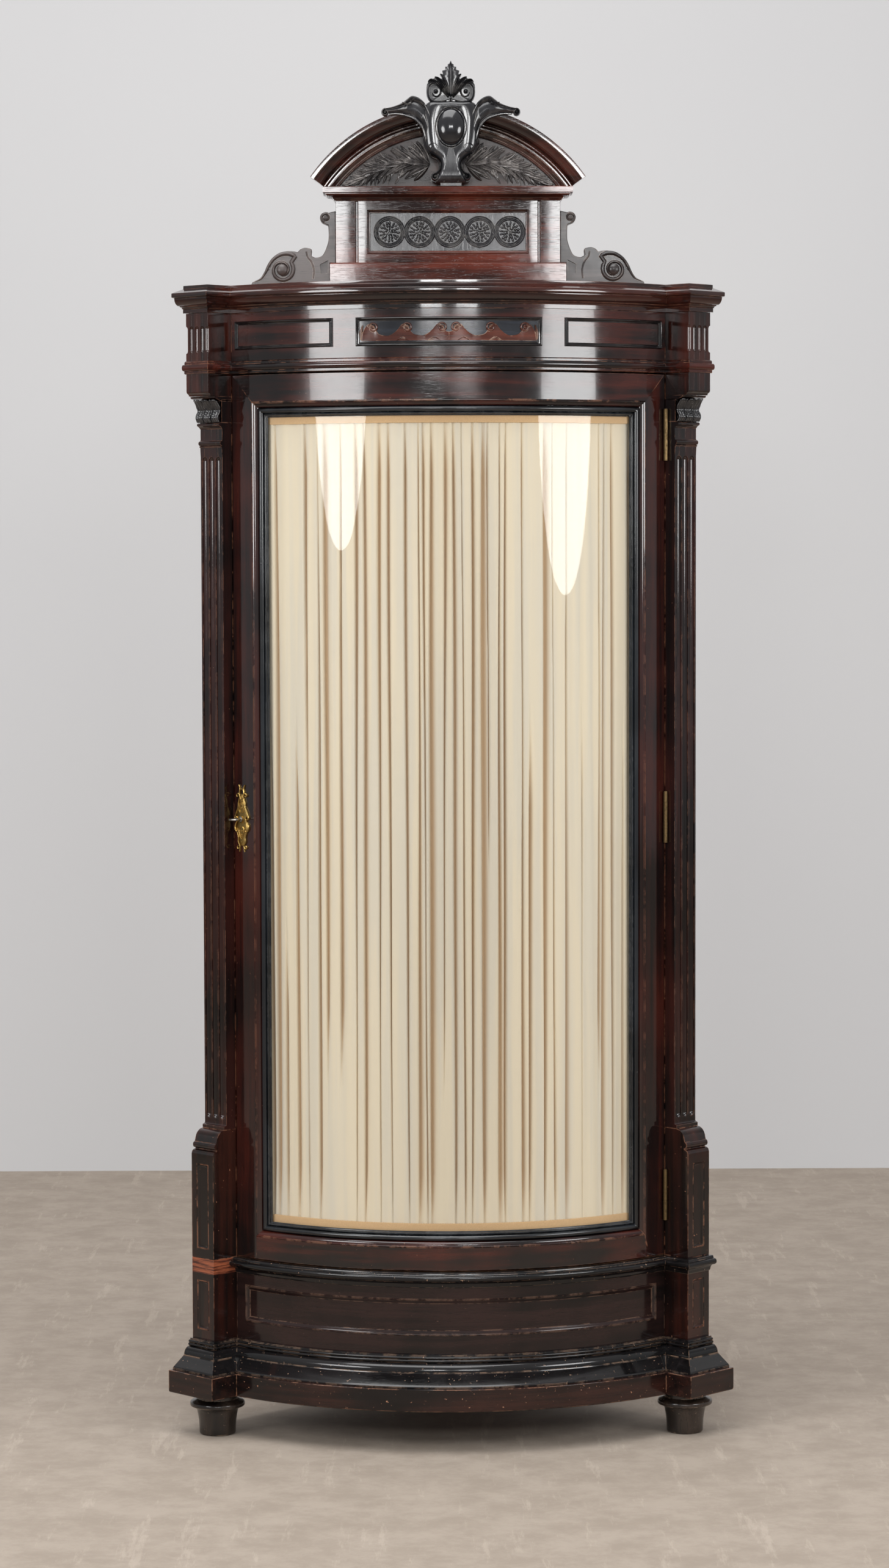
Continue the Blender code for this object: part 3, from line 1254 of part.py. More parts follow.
def shelf_cleat(side, shelf_bottom):
    """A ledge on the back panel that carries one side of a shelf."""
    wall = -BLOCK_WIDTH + BACK_THICKNESS
    back = -BOW_RADIUS - BLOCK_WIDTH + BACK_POST_WIDTH + CLEAT_THICKNESS * 1.2
    top = shelf_bottom - SEAT_GAP
    low = (wall - SINK, top - CLEAT_HEIGHT, back)
    return box(block(side, 0), low, (wall + CLEAT_THICKNESS, top, -SHELF_SETBACK - CLEAT_THICKNESS))


# Pediment

def stack(half, depth, levels):
    """A block with moulded front and sides: (out, z) levels round a rectangle."""
    rings = []
    for out, z in levels:
        edge = half + out
        rings.append([pediment(across, z, forward)
                      for across, forward in ((-edge, -depth), (-edge, out), (edge, out), (edge, -depth))])
    return loft(rings)


def make_pediment():
    base_bottom = CORNICE_BOTTOM + BOARD_THICKNESS + SEAT_GAP
    base_top = CORNICE_TOP + PEDIMENT_BASE_TOP
    add("pediment_base", stack(PEDIMENT_BASE_HALF - PEDIMENT_BASE_OUT, PEDIMENT_DEPTH + 0.01, [
        (PEDIMENT_BASE_OUT, base_bottom), (PEDIMENT_BASE_OUT, base_top - 0.0015),
        (PEDIMENT_BASE_OUT - 0.0015, base_top)]), "polished_mahogany")
    bottom = base_top + SEAT_GAP
    top = base_top + PEDIMENT_BODY_HEIGHT
    add_body(bottom, top)
    cap_bottom = top + SEAT_GAP
    cap_top = top + CAP_HEIGHT
    out = CAP_PROJECTION
    rise = cap_top - cap_bottom
    shares = [(0.12, 0), (0.16, 0.12), (0.40, 0.24), (0.46, 0.34), (0.78, 0.46), (0.96, 0.54), (1, 0.58)]
    shares.append((1, 1))
    levels = [(out * forward, cap_bottom + rise * up) for forward, up in shares]
    add("pediment_cap", stack(PEDIMENT_BODY_HALF, PEDIMENT_DEPTH, levels), "polished_mahogany")
    make_crest(cap_top)
    for side in (-1, 1):
        add_bracket(side, base_bottom, base_top)


def add_body(bottom, top):
    """The box with its side strips and the sunk field for the rosettes."""
    half = PEDIMENT_BODY_HALF
    inner = FIELD_HALF
    field = inner + FIELD_BORDER
    low, high = bottom + FIELD_BORDER, top - FIELD_BORDER
    shape = box(pediment, (-half, bottom, -PEDIMENT_DEPTH), (half, top, 0))
    body = add("pediment_body", shape, "polished_mahogany")
    grooves = []
    for side in (-1, 1):
        edges = sorted((side * field, side * (field + SIDE_STRIP_GROOVE)))
        grooves.append(box(pediment, (edges[0], bottom - CUT_OVERRUN, -0.004),
                           (edges[1], top + CUT_OVERRUN, CUT_OVERRUN)))
    sunk = box(pediment, (-inner, low, -FIELD_RECESS), (inner, high, CUT_OVERRUN))
    cut(body, joined(grooves), sunk)
    width = FIELD_MOULDING
    profile = [(-SINK, -FIELD_RECESS - SINK), (-SINK, 0.0004), (width * 0.3, 0.0012), (width * 0.6, -0.001),
               (width * 0.7, -0.003), (width, -0.0042), (width, -FIELD_RECESS - SINK)]
    unite(body, frame(pediment, -inner, inner, low, high, profile))
    room = width + SEAT_GAP
    ground = -FIELD_RECESS + 0.0022
    back = -FIELD_RECESS + SEAT_GAP
    plate = box(pediment, (-inner + room, low + room, back), (inner - room, high - room, ground))
    rosettes = add("rosette_panel", plate, "ebonised_wood")
    middle = (low + high) / 2
    for group in (0, 1):
        rings = []
        for i in range(group, ROSETTE_COUNT, 2):
            centre = (ROSETTE_SPACING * (i - (ROSETTE_COUNT - 1) / 2), middle)
            rings.append(rosette(centre, ground))
        unite(rosettes, joined(rings))


def rosette(centre, ground):
    """A plain ring round a flower of small petals."""
    outer, flower = ROSETTE_RADIUS, ROSETTE_RADIUS * ROSETTE_FLOWER_SHARE
    under = ground - 0.0008
    count = ROSETTE_PETALS * 2
    profile = [(1.0, under), (0.97, ground + 0.003), (0.80, ground + 0.003), (0.73, ground + 0.0008)]
    rings = [[pediment(centre[0] + outer * r * math.cos(a), centre[1] + outer * r * math.sin(a), out)
              for a in spaced(0, 2 * math.pi * (count - 1) / count, count - 1)] for r, out in profile]
    petals = [[], [], []]
    for i in range(count):
        angle = 2 * math.pi * i / count
        lobe = 1 if i % 2 else 0.80
        rise = 0.0042 if i % 2 else 0.0016
        for ring, (r, out) in zip(petals, ((lobe, 0.001), (0.62, rise), (0.28, 0.0020))):
            across, up = flower * r * math.cos(angle), flower * r * math.sin(angle)
            ring.append(pediment(centre[0] + across, centre[1] + up, ground + out))
    return loft(rings + petals)


def arch_end(radius, floor):
    """How far an arch line runs from the crown: to the radial end cut or to the cap."""
    radial = math.asin(ARCH_HALF_WIDTH / ARCH_OUTER_RADIUS)
    return min(radial, math.acos(floor / radius))


def make_crest(cap_top):
    centre_z = cap_top - ARCH_CENTRE_DROP
    floor = ARCH_CENTRE_DROP + SEAT_GAP
    span = ARCH_OUTER_RADIUS - ARCH_INNER_RADIUS
    out = ARCH_PROJECTION
    steps = [(1.0, 1.0), (0.82, 1.0), (0.78, 0.80)]
    steps += quarter((0.78, 0.80), (0.48, 0.30), hollow=True, steps=3)
    steps += [(0.42, 0.36), (0.34, 0.60), (0.26, 0.58), (0.22, 0.34), (0.08, 0.10), (0.0, 0.08)]
    back = -TYMPANUM_SETBACK + SEAT_GAP
    profile = [(ARCH_INNER_RADIUS + span * r, out * o) for r, o in steps]
    profile = [(ARCH_OUTER_RADIUS, back)] + profile + [(ARCH_INNER_RADIUS, back)]
    lines = []
    for radius, forward in profile:
        end = arch_end(radius, floor)
        lines.append([pediment(radius * math.sin(a), centre_z + radius * math.cos(a), forward)
                      for a in spaced(-end, end, ARCH_COLUMNS)])
    arch = loft([[line[j] for line in lines] for j in range(ARCH_COLUMNS + 1)])
    add("arch_moulding", arch, "polished_mahogany", smooth=True)
    board_behind = add_tympanum(cap_top + SEAT_GAP, centre_z)
    plant_branches(board_behind, cap_top + SEAT_GAP)
    add_cartouche(cap_top + SEAT_GAP)


def add_tympanum(bottom, centre_z):
    """The board behind the arch."""
    radius = ARCH_OUTER_RADIUS - 0.004
    half = PEDIMENT_BODY_HALF + CAP_PROJECTION * 0.8
    reach = math.degrees(math.acos(half / radius))
    outline = [(-half, bottom), (half, bottom)] + circle((0, centre_z), radius, reach, 180 - reach, 20)
    back = -TYMPANUM_SETBACK - TYMPANUM_THICKNESS
    return add("tympanum", prism(pediment, outline, back, -TYMPANUM_SETBACK), "polished_mahogany")


def leaf(base, angle, length, width, low, high):
    """A pointed leaf with a raised midrib, lying on the tympanum."""
    along = Vector((math.cos(angle), math.sin(angle)))
    across = Vector((-along.y, along.x)) * width / 2
    root = Vector(base) - along * width * 0.2
    middle = root + along * length * 0.4
    ring = [root, middle + across, root + along * length, middle - across]
    crest = root + along * length * 0.45
    points = [pediment(*p, low) for p in ring] + [pediment(*crest, high)]
    faces = [(3, 2, 1, 0)] + [(i, (i + 1) % 4, 4) for i in range(4)]
    return points, faces


def plant_branches(ground, floor):
    """A laurel branch each side, its stem running out from the cartouche to the arch's foot."""
    low = -TYMPANUM_SETBACK - SINK
    reach = math.sqrt(ARCH_INNER_RADIUS ** 2 - ARCH_CENTRE_DROP ** 2)
    stems, leaves = [], []
    for side in (-1, 1):
        start = Vector((side * reach * 0.237, floor + CROWN_HEIGHT * 0.257))
        end = Vector((side * reach * 0.837, floor + CROWN_HEIGHT * 0.054))
        sag = Vector((0, CROWN_HEIGHT * 0.054))
        path = [start.lerp(end, t) + sag * math.sin(math.pi * t) for t in spaced(0, 1, LEAVES_EACH_BRANCH)]
        widths = [LAUREL_WIDTH * 0.47] * len(path)
        stems.append(ribbon(pediment, [tuple(p) for p in path], widths, low, low + 0.004))
        for i, root in enumerate(path[:-1]):
            way = path[i + 1] - root
            for lean in (-1, 1):
                length = LAUREL_LENGTH * (1 - 0.054 * i)
                angle = math.atan2(way.y, way.x) + lean * 0.62
                if root.y + length * math.sin(angle) > floor + 0.002:
                    high = low + 0.009 + 0.0004 * lean
                    leaves.append(leaf(tuple(root), angle, length, LAUREL_WIDTH, low, high))
    unite(ground, joined(stems), joined(leaves[0::2]), joined(leaves[1::2]))


def shield_outline():
    """The right half in shares of the crown's height: foot volute, side volute, body and wing."""
    right = [(0.122, 0), (0.149, 0.007)]
    right += circle((0.196, 0.057), 0.059, -70, 130, 6)
    right += [(0.132, 0.149), (0.149, 0.223)]
    right += circle((0.196, 0.324), 0.071, -90, 40, 4)
    right += [(0.260, 0.419), (0.304, 0.554), (0.318, 0.662), (0.351, 0.716)]
    right += [(0.514, 0.824), (0.676, 0.821)]
    right += circle((0.801, 0.853), 0.046, -110, 100, 5)
    right += [(0.703, 0.909), (0.581, 0.959), (0.453, 1.030), (0.365, 1.007), (0.270, 0.959), (0.135, 0.997)]
    return right


def add_cartouche(floor):
    """Shield with scrolled wings over the arch, an oval cabochon, and a palmette on top."""
    low = ARCH_PROJECTION + SEAT_GAP
    face = low + SHIELD_THICKNESS

    def scaled(points):
        return [(across * CROWN_HEIGHT, floor + up * CROWN_HEIGHT) for across, up in points]
    right = shield_outline()
    levels = [(0, face - 0.006), (0.0015, face - 0.0025), (0.004, face)]
    shield = add("cartouche", relief(pediment, scaled(right + mirrored(right)), low, levels), "ebonised_wood",
                 smooth=True)
    half_root = [(0.115, 0), (0.162, 0.338), (0.135, 0.541)]
    root = scaled(half_root + mirrored(half_root))
    unite(shield, prism(pediment, root, -TYMPANUM_SETBACK + SEAT_GAP, low + 0.004))
    rim = face - SINK
    dome = [(1.0, rim), (1.0, rim + 0.003), (0.93, rim + 0.0042), (0.86, rim + 0.002)]
    dome += [(0.84 * math.cos(t), rim + 0.0015 + CABOCHON_RISE * math.sin(t))
             for t in spaced(0, math.radians(80), 3)]
    oval = [(CABOCHON_RADIUS * r, out) for r, out in dome]
    middle = floor + CROWN_HEIGHT * 0.686
    unite(shield, joined(wing_folds(scaled, rim)))
    unite(shield, joined(volutes(scaled([(0.196, 0.057), (0.196, 0.324)]), rim)))
    unite(shield, boss(pediment, (0, middle), oval, 16, (1, CABOCHON_STRETCH)))
    add_palmette(floor + CROWN_HEIGHT * 0.997 + SEAT_GAP, low)


def wing_folds(scaled, rim):
    """The raised fold along each wing, from the shield's shoulder to the rolled tip."""
    path = scaled([(0.372, 0.812), (0.448, 0.926), (0.553, 0.907), (0.664, 0.869), (0.743, 0.859),
                   (0.806, 0.856)])
    widths = [CROWN_HEIGHT * share for share in (0.05, 0.09, 0.075, 0.06, 0.05, 0.04)]
    return [ribbon(pediment, [(side * across, z) for across, z in path], widths, rim - 0.003, rim + 0.005)
            for side in (-1, 1)]


def volutes(centres, rim):
    """A small eye on each of the scrolls, on both sides of the middle."""
    eye = [(0.0052, rim - 0.002), (0.0050, rim + 0.0022), (0.002, rim + 0.004)]
    return [boss(pediment, (side * across, z), eye, 8) for across, z in centres for side in (-1, 1)]


def add_palmette(top, low):
    """The finial: a fan of lobed leaves between two volutes."""
    def scaled(points):
        return [(across * PALMETTE_HEIGHT, top + up * PALMETTE_HEIGHT) for across, up in points]
    half = [(0.186, 0), (0.403, 0.031)] + circle((0.442, 0.194), 0.178, -60, 100, 5)
    half += [(0.372, 0.450), (0.380, 0.527), (0.248, 0.574), (0.256, 0.713), (0.140, 0.713), (0.132, 0.853)]
    back = low + 0.002
    face = back + PALMETTE_THICKNESS
    outline = scaled(half + [(0, 1)] + mirrored(half))
    fan = add("palmette", relief(pediment, outline, back, [(0, face - 0.005), (0.003, face - 0.001)]),
              "ebonised_wood", smooth=True)
    root = scaled([(0, 0.28)])[0]
    width = PALMETTE_HEIGHT * 0.17
    petals = []
    for lean, share in ((0, 0.70), (0.50, 0.52), (-0.50, 0.52), (1.05, 0.42), (-1.05, 0.42)):
        length = PALMETTE_HEIGHT * share
        petals.append(leaf(root, math.pi / 2 - lean, length, width, face - 0.003, face + 0.004))
    unite(fan, joined(petals))
    eyes = scaled([(0.442, 0.194)])
    unite(fan, joined(volutes(eyes, face - 0.002)))


def bracket_outline():
    """The bracket in shares of its length and height: tail, large volute, crest and hollow stem."""
    outline = [(1.0, -0.236), (0.997, 0.060), (0.909, 0.083), (0.851, 0.111)]
    outline += [(0.800, 0.200), (0.788, 0.214), (0.754, 0.238)]
    outline += [(0.738, 0.300), (0.700, 0.356), (0.655, 0.410), (0.600, 0.450), (0.524, 0.478)]
    outline += [(0.450, 0.475), (0.391, 0.459), (0.375, 0.492), (0.324, 0.519), (0.270, 0.515)]
    outline += [(0.232, 0.496), (0.236, 0.440), (0.240, 0.401), (0.190, 0.387), (0.130, 0.398)]
    outline += [(0.086, 0.429), (0.040, 0.526), (0.012, 0.600), (0.010, 0.720), (0.019, 0.812)]
    return outline


def add_bracket(side, bottom, base_top):
    """Side scroll: a small volute above a hollow stem, a crest, and a large volute with a tail."""
    inner = PEDIMENT_BODY_HALF + SEAT_GAP
    base_side = PEDIMENT_BASE_HALF + SEAT_GAP
    shelf = base_top + SEAT_GAP

    def scaled(points):
        return [(base_side + across * BRACKET_LENGTH, CORNICE_TOP + up * BRACKET_HEIGHT)
                for across, up in points]
    top_eye, large_eye = scaled([(0.052, 0.929), (0.608, 0.220)])
    small = BRACKET_HEIGHT * 0.079
    outline = scaled(bracket_outline())
    outline[0] = (outline[0][0], bottom)
    outline = [(base_side, bottom)] + outline + circle(top_eye, small, -60, 120, 6)
    outline += [(inner, CORNICE_TOP + BRACKET_HEIGHT), (inner, shelf), (base_side, shelf)]
    outline = [(side * x, z) for x, z in outline]
    if side < 0:
        outline.reverse()
    front = -BRACKET_SETBACK
    shape = eased(pediment, outline, front - BRACKET_THICKNESS, front, 0.0015)
    bracket = add(f"bracket_{side_name(side)}", shape, "ebonised_wood", smooth=True)
    hollow = scaled([(0.128, 0.293), (0.023, 0.353), (0.026, 0.170), (0.123, 0.165)])
    hollow = [(side * x, z) for x, z in hollow]
    cut(bracket, prism(pediment, hollow, front - 0.006, front + CUT_OVERRUN))
    large = BRACKET_LENGTH * 0.153
    steps = [(1.0, -0.002), (1.0, 0.003), (0.82, 0.005), (0.64, 0.003), (0.52, 0.003), (0.45, 0.007)]
    ring_profile = [(large * r, front + out) for r, out in steps + [(0.23, 0.0105)]]
    eye_profile = [(small * r, front + out) for r, out in ((0.93, -0.002), (0.93, 0.003), (0.38, 0.006))]
    ring = boss(pediment, (side * large_eye[0], large_eye[1]), ring_profile, 14)
    eye = boss(pediment, (side * top_eye[0], top_eye[1]), eye_profile, 10)
    unite(bracket, joined([ring, eye]))
    band = scaled([(0.875, 0.118), (0.790, 0.262), (0.700, 0.372), (0.600, 0.420), (0.500, 0.425),
                   (0.415, 0.385), (0.360, 0.300), (0.345, 0.200)])
    widths = [BRACKET_HEIGHT * share for share in (0.03, 0.05, 0.06, 0.06, 0.06, 0.055, 0.045, 0.03)]
    unite(bracket, ribbon(pediment, [(side * x, z) for x, z in band], widths, front - SINK, front + 0.003))


def build():
    make_feet()
    make_base()
    make_posts()
    make_backs()
    make_dado()
    make_waist()
    make_frieze()
    make_pilasters()
    make_shelves()
    make_pediment()
    hinge = pivot("door_pivot", (*corner(1, AXIS_IN, AXIS_OUT), DOOR_BOTTOM))
    key_pivot = pivot("key_pivot", lock_place(0, LOCK_Z, 0))
    bolt_pivot = pivot("bolt_pivot", lock_place(case_span()[0], bolt_middle()[0], bolt_middle()[1]))
    for inner in (key_pivot, bolt_pivot):
        inner.parent = hinge
        inner.matrix_parent_inverse = hinge.matrix_world.inverted()
    bpy.context.view_layer.update()
    make_door(hinge)
    make_hinges(hinge)
    make_lock(hinge, key_pivot, bolt_pivot)


build()
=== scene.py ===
"""Bow-front corner cabinet: the finished look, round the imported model. Metres, +Z up, front towards -Y."""

import json
import math
import random

import bmesh
import bpy
from mathutils import Matrix, Vector


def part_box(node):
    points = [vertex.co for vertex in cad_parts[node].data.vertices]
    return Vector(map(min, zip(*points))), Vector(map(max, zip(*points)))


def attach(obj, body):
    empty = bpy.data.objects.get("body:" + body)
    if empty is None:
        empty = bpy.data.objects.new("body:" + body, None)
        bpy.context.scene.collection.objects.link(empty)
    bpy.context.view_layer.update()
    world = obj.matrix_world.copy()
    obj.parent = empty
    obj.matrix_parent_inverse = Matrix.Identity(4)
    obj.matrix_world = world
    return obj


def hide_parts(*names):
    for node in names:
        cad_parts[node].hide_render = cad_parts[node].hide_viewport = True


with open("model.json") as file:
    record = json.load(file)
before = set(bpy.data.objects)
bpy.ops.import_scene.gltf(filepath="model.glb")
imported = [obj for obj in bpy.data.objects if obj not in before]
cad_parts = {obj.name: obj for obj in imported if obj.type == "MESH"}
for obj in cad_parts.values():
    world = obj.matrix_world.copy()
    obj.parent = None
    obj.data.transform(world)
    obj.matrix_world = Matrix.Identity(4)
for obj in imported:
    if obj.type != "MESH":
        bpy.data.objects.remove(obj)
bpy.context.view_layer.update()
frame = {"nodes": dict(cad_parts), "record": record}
nodes = frame["nodes"]
scene = bpy.context.scene

# Plan: a quarter circle between two square blocks that are turned 45 degrees
BOW = 0.56
HALF_CHORD = BOW * math.sin(math.radians(45))
CHORD_Y = -0.1202
CENTRE_Y = CHORD_Y + HALF_CHORD
BLOCK_WIDTH = 0.059
BLOCK_OUT = 0.0573
SHAFT_OUT = 0.0235


# Shader maths as Python expressions

class Socket:
    """A node's output; operators on it add Math nodes."""

    def __init__(self, finish, out):
        self.finish = finish
        self.out = out

    def math(self, operation, *others):
        return self.finish.node("Math", {"operation": operation}, {0: self, **dict(enumerate(others, 1))})

    def __add__(self, other):
        return self.math("ADD", other)

    def __sub__(self, other):
        return self.math("SUBTRACT", other)

    def __mul__(self, other):
        return self.math("MULTIPLY", other)

    def __rsub__(self, other):
        return self.finish.node("Math", {"operation": "SUBTRACT"}, {0: other, 1: self})


class Finish:
    """A material in the making: one Principled shader and the nodes that feed it."""

    def __init__(self, name, **constants):
        self.material = bpy.data.materials.new(name)
        self.material.use_nodes = True
        self.tree = self.material.node_tree
        self.tree.nodes.clear()
        self.output = self.tree.nodes.new("ShaderNodeOutputMaterial")
        self.shader = self.tree.nodes.new("ShaderNodeBsdfPrincipled")
        self.tree.links.new(self.shader.outputs[0], self.output.inputs[0])
        for socket, value in constants.items():
            self.shader.inputs[socket.replace("_", " ")].default_value = value

    def node(self, kind, settings=None, sockets=None, out=0):
        made = self.tree.nodes.new("ShaderNode" + kind)
        for name, value in (settings or {}).items():
            setattr(made, name, value)
        for key, value in (sockets or {}).items():
            if isinstance(value, Socket):
                self.tree.links.new(value.out, made.inputs[key])
            else:
                made.inputs[key].default_value = value
        return Socket(self, made.outputs[out])

    def feed(self, **sockets):
        """Links values to the shader's inputs and gives the finished material."""
        for name, value in sockets.items():
            self.tree.links.new(value.out, self.shader.inputs[name.replace("_", " ")])
        return self.material

    def place(self):
        """Object coordinates, in metres."""
        return self.node("TexCoord", out="Object")

    def parts(self, vector):
        made = self.node("SeparateXYZ", sockets={0: vector})
        return [Socket(self, made.out.node.outputs[i]) for i in range(3)]

    def vector(self, x, y, z):
        return self.node("CombineXYZ", sockets={0: x, 1: y, 2: z})

    def stretched(self, vector, scale):
        return self.node("VectorMath", {"operation": "MULTIPLY"}, {0: vector, 1: scale})

    def noise(self, vector, scale=1.0, detail=3.0, rough=0.5, warp=0.0):
        return self.node("TexNoise", sockets={"Vector": vector, "Scale": scale, "Detail": detail,
                                              "Roughness": rough, "Distortion": warp})

    def step(self, value, low, high, start=0.0, end=1.0):
        """Start where the value is under low, end where it is over high, and smooth between."""
        return self.node("MapRange", {"interpolation_type": "SMOOTHSTEP"},
                         {0: value, 1: low, 2: high, 3: start, 4: end})

    def mix(self, share, first, second):
        made = self.node("Mix", {"data_type": "RGBA"}, {0: share, 6: first, 7: second})
        return Socket(self, made.out.node.outputs[2])

    def bump(self, height, distance, strength):
        return self.node("Bump", sockets={"Height": height, "Distance": distance, "Strength": strength})

    def show(self, share):
        """Shows the surface by this share and lets light straight through for the rest."""
        clear = self.node("BsdfTransparent")
        mixed = self.node("MixShader", sockets={0: share, 1: clear, 2: Socket(self, self.shader.outputs[0])})
        self.tree.links.new(mixed.out, self.output.inputs[0])

    def edges(self, radius):
        """1 on sharp edges and 0 on flats, from how far a rounded normal leaves the true one."""
        soft = self.node("Bevel", {"samples": 4}, {"Radius": radius})
        true = self.node("NewGeometry", out="Normal")
        return 1 - self.node("VectorMath", {"operation": "DOT_PRODUCT"}, {0: soft, 1: true}, out="Value")


def rgb(red, green, blue):
    """A colour as the eye names it, 0 to 255, in linear values."""
    return (*[((c / 255 + 0.055) / 1.055) ** 2.4 if c > 10 else c / 3294 for c in (red, green, blue)], 1.0)


def grained(finish, way):
    """Coordinates that run slowly along the grain: up, across, or round the bow."""
    p = finish.place()
    if way == "up":
        return finish.stretched(p, (1, 1, 0.045))
    if way == "across":
        return finish.stretched(p, (0.045, 1, 1))
    x, y, z = finish.parts(p)
    ahead = CENTRE_Y - y
    angle = x.math("ARCTAN2", ahead)
    reach = (x * x + ahead * ahead).math("SQRT")
    return finish.vector(angle * (BOW * 0.045), reach, z)


def polished_wood(name, way, dark, red, pale, wear=0.5, gloss=0.16, coat=0.35, ior=1.5, rubbed=0.0016,
                  specks=0.5, scar=None):
    """French-polished dark wood: streaked figure, pores, rubbed edges, chips and a slightly uneven gloss."""
    finish = Finish(name, Coat_Weight=coat, Coat_Roughness=0.04, IOR=ior)
    dark, red, pale = rgb(*dark), rgb(*red), rgb(*pale)
    grain = grained(finish, way)
    figure = finish.noise(grain, 26, 5, 0.6, 0.6)
    streak = finish.noise(grain, 90, 4, 0.65)
    cloud = finish.noise(finish.place(), 5.5, 3, 0.5)
    pores = finish.step(finish.noise(grain, 900, 2, 0.5), 0.56, 0.7)
    body = finish.step(figure * 0.45 + streak * 0.25 + cloud * 0.45, 0.48, 0.7)
    colour = finish.mix(body, dark, red)
    colour = finish.mix(pores * 0.45, colour, rgb(14, 8, 7))
    worn = finish.step(finish.edges(rubbed), 0.01, 0.16)
    rub = finish.step(finish.noise(finish.place(), 34, 4, 0.7), 0.44, 0.58)
    few = 0.765 - 0.085 * specks
    chips = finish.step(finish.noise(finish.place(), 170, 3, 0.6), few, few + 0.04) * specks
    bare = (worn * rub * wear).math("MAXIMUM", chips)
    if scar:
        height = finish.parts(finish.place())[2] + finish.noise(grain, 60, 3) * 0.002 - 0.001
        raw = finish.step(height, scar[0], scar[0] + 0.001)
        raw = raw * finish.step(height, scar[1] - 0.001, scar[1], 1, 0)
        split = finish.noise(finish.stretched(finish.place(), (0.2, 0.2, 4)), 60, 4, 0.7)
        fibre = finish.mix(finish.step(split, 0.4, 0.62), rgb(62, 30, 24), rgb(158, 88, 60))
        colour = finish.mix(raw, colour, fibre)
    colour = finish.mix(bare, colour, pale)
    uneven = finish.noise(finish.place(), 11, 4, 0.6)
    rough = finish.step(uneven, 0.3, 0.75, gloss * 0.7, gloss * 1.5) + bare * 0.2
    waviness = finish.noise(finish.place(), 30, 2, 0.5)
    normal = finish.bump(streak * 0.12 + pores * -0.2 + waviness * 0.9, 0.0002, 0.35)
    return finish.feed(Base_Color=colour, Roughness=rough, Normal=normal)


looks = {
    "polished_mahogany": polished_wood("mahogany", "up", (30, 13, 12), (74, 28, 20), (132, 84, 58)),
    "dark_mahogany": polished_wood("dark_panel", "bow", (26, 17, 17), (48, 28, 26), (110, 80, 62)),
    "ebonised_wood": polished_wood("ebonised", "up", (15, 15, 17), (34, 33, 36), (96, 88, 82), 0.4, 0.2),
    "inner_wood": polished_wood("inner_wood", "up", (96, 62, 40), (136, 92, 60), (160, 120, 84), 0.2, 0.6, 0),
}


def metal(name, colour, tarnish, rough):
    """Metal with dull spots."""
    finish = Finish(name, Metallic=1.0)
    spots = finish.step(finish.noise(finish.place(), 160, 4, 0.6), 0.4, 0.7)
    shade = finish.mix(spots * 0.6, colour, tarnish)
    return finish.feed(Base_Color=shade, Roughness=finish.step(spots, 0, 1, rough, rough + 0.2))


looks["brass"] = metal("brass", rgb(118, 98, 68), rgb(62, 50, 36), 0.42)
looks["gilt_metal"] = metal("gilt_metal", rgb(184, 154, 92), rgb(84, 60, 32), 0.3)
looks["steel"] = metal("steel", rgb(150, 146, 140), rgb(80, 70, 62), 0.3)


def clear_glass():
    """Polished on both faces: clear straight through, with what stands in front of it mirrored."""
    finish = Finish("window_glass", Metallic=1.0, Roughness=0.015)
    ripple = finish.bump(finish.noise(finish.place(), 5, 2, 0.5), 0.002, 0.1)
    finish.shader.inputs["Base Color"].default_value = rgb(240, 244, 242)
    finish.show(finish.node("Fresnel", sockets={"IOR": 1.45, "Normal": ripple}) * 0.55)
    return finish.feed(Normal=ripple)


def gathered_cloth():
    """Fine cream cotton, with painted shade, warmer and darker, down in its creases; greyer on some pleats.
    """
    finish = Finish("cream_cloth", Sheen_Weight=0.15)
    deep = finish.node("Attribute", {"attribute_name": "crease"}, out="Fac")
    long = finish.stretched(finish.place(), (1, 1, 0.03))
    tint = finish.step(finish.noise(long, 46, 2, 0.5), 0.38, 0.62)
    threads = finish.noise(finish.stretched(finish.place(), (1, 1, 3)), 700, 2)
    colour = finish.mix(tint, rgb(231, 219, 195), rgb(221, 213, 196))
    colour = finish.mix(threads * 0.2, colour, rgb(222, 204, 172))
    # Painted shade: the crease depth darkens and warms the colour towards a brown shadow tone.
    colour = finish.mix(finish.step(deep, 0.08, 0.9) * 0.85, colour, rgb(180, 148, 110))
    return finish.feed(Base_Color=colour, Roughness=finish.step(threads, 0, 1, 0.8, 0.95),
                       Normal=finish.bump(threads, 0.0001, 0.4))


looks["window_glass"] = clear_glass()
looks["cream_cloth"] = gathered_cloth()


def dark(name, *how, **more):
    """One of the cabinet's woods, under its own name."""
    looks[name] = polished_wood(name, *how, **more)


dark("bow_wood", "bow", (17, 10, 10), (74, 28, 19), (158, 112, 88), 0.8, 0.14, 0.4, 1.47, 0.0022)
dark("cornice_wood", "bow", (16, 10, 10), (60, 25, 18), (134, 92, 70), 0.7, 0.1, 0.5)
dark("plinth_wood", "bow", (17, 12, 12), (54, 30, 24), (176, 128, 100), 1.0, 0.14, 0.15, 1.4, 0.003, 1.0)
dark("door_wood", "up", (18, 11, 11), (60, 24, 18), (138, 92, 70), 0.7, 0.1, 0.6)
dark("pilaster_wood", "up", (15, 10, 10), (50, 23, 19), (150, 106, 84), 0.8, 0.12)
dark("fluted_wood", "up", (16, 10, 9), (66, 28, 20), (130, 90, 70), 0.15, 0.14)
dark("block_wood", "up", (16, 10, 9), (56, 27, 20), (160, 110, 84), 0.9, 0.14, 0.3, 1.45, 0.0024, 0.8)
dark("post_wood_left", "up", (16, 10, 10), (56, 25, 18), (156, 104, 78), 0.9, 0.14, 0.3, 1.45, 0.0024, 0.8,
     scar=(0.2935, 0.3222))
dark("post_wood_right", "up", (16, 10, 10), (56, 25, 18), (156, 104, 78), 0.9, 0.14, 0.3, 1.45, 0.0024, 0.8)
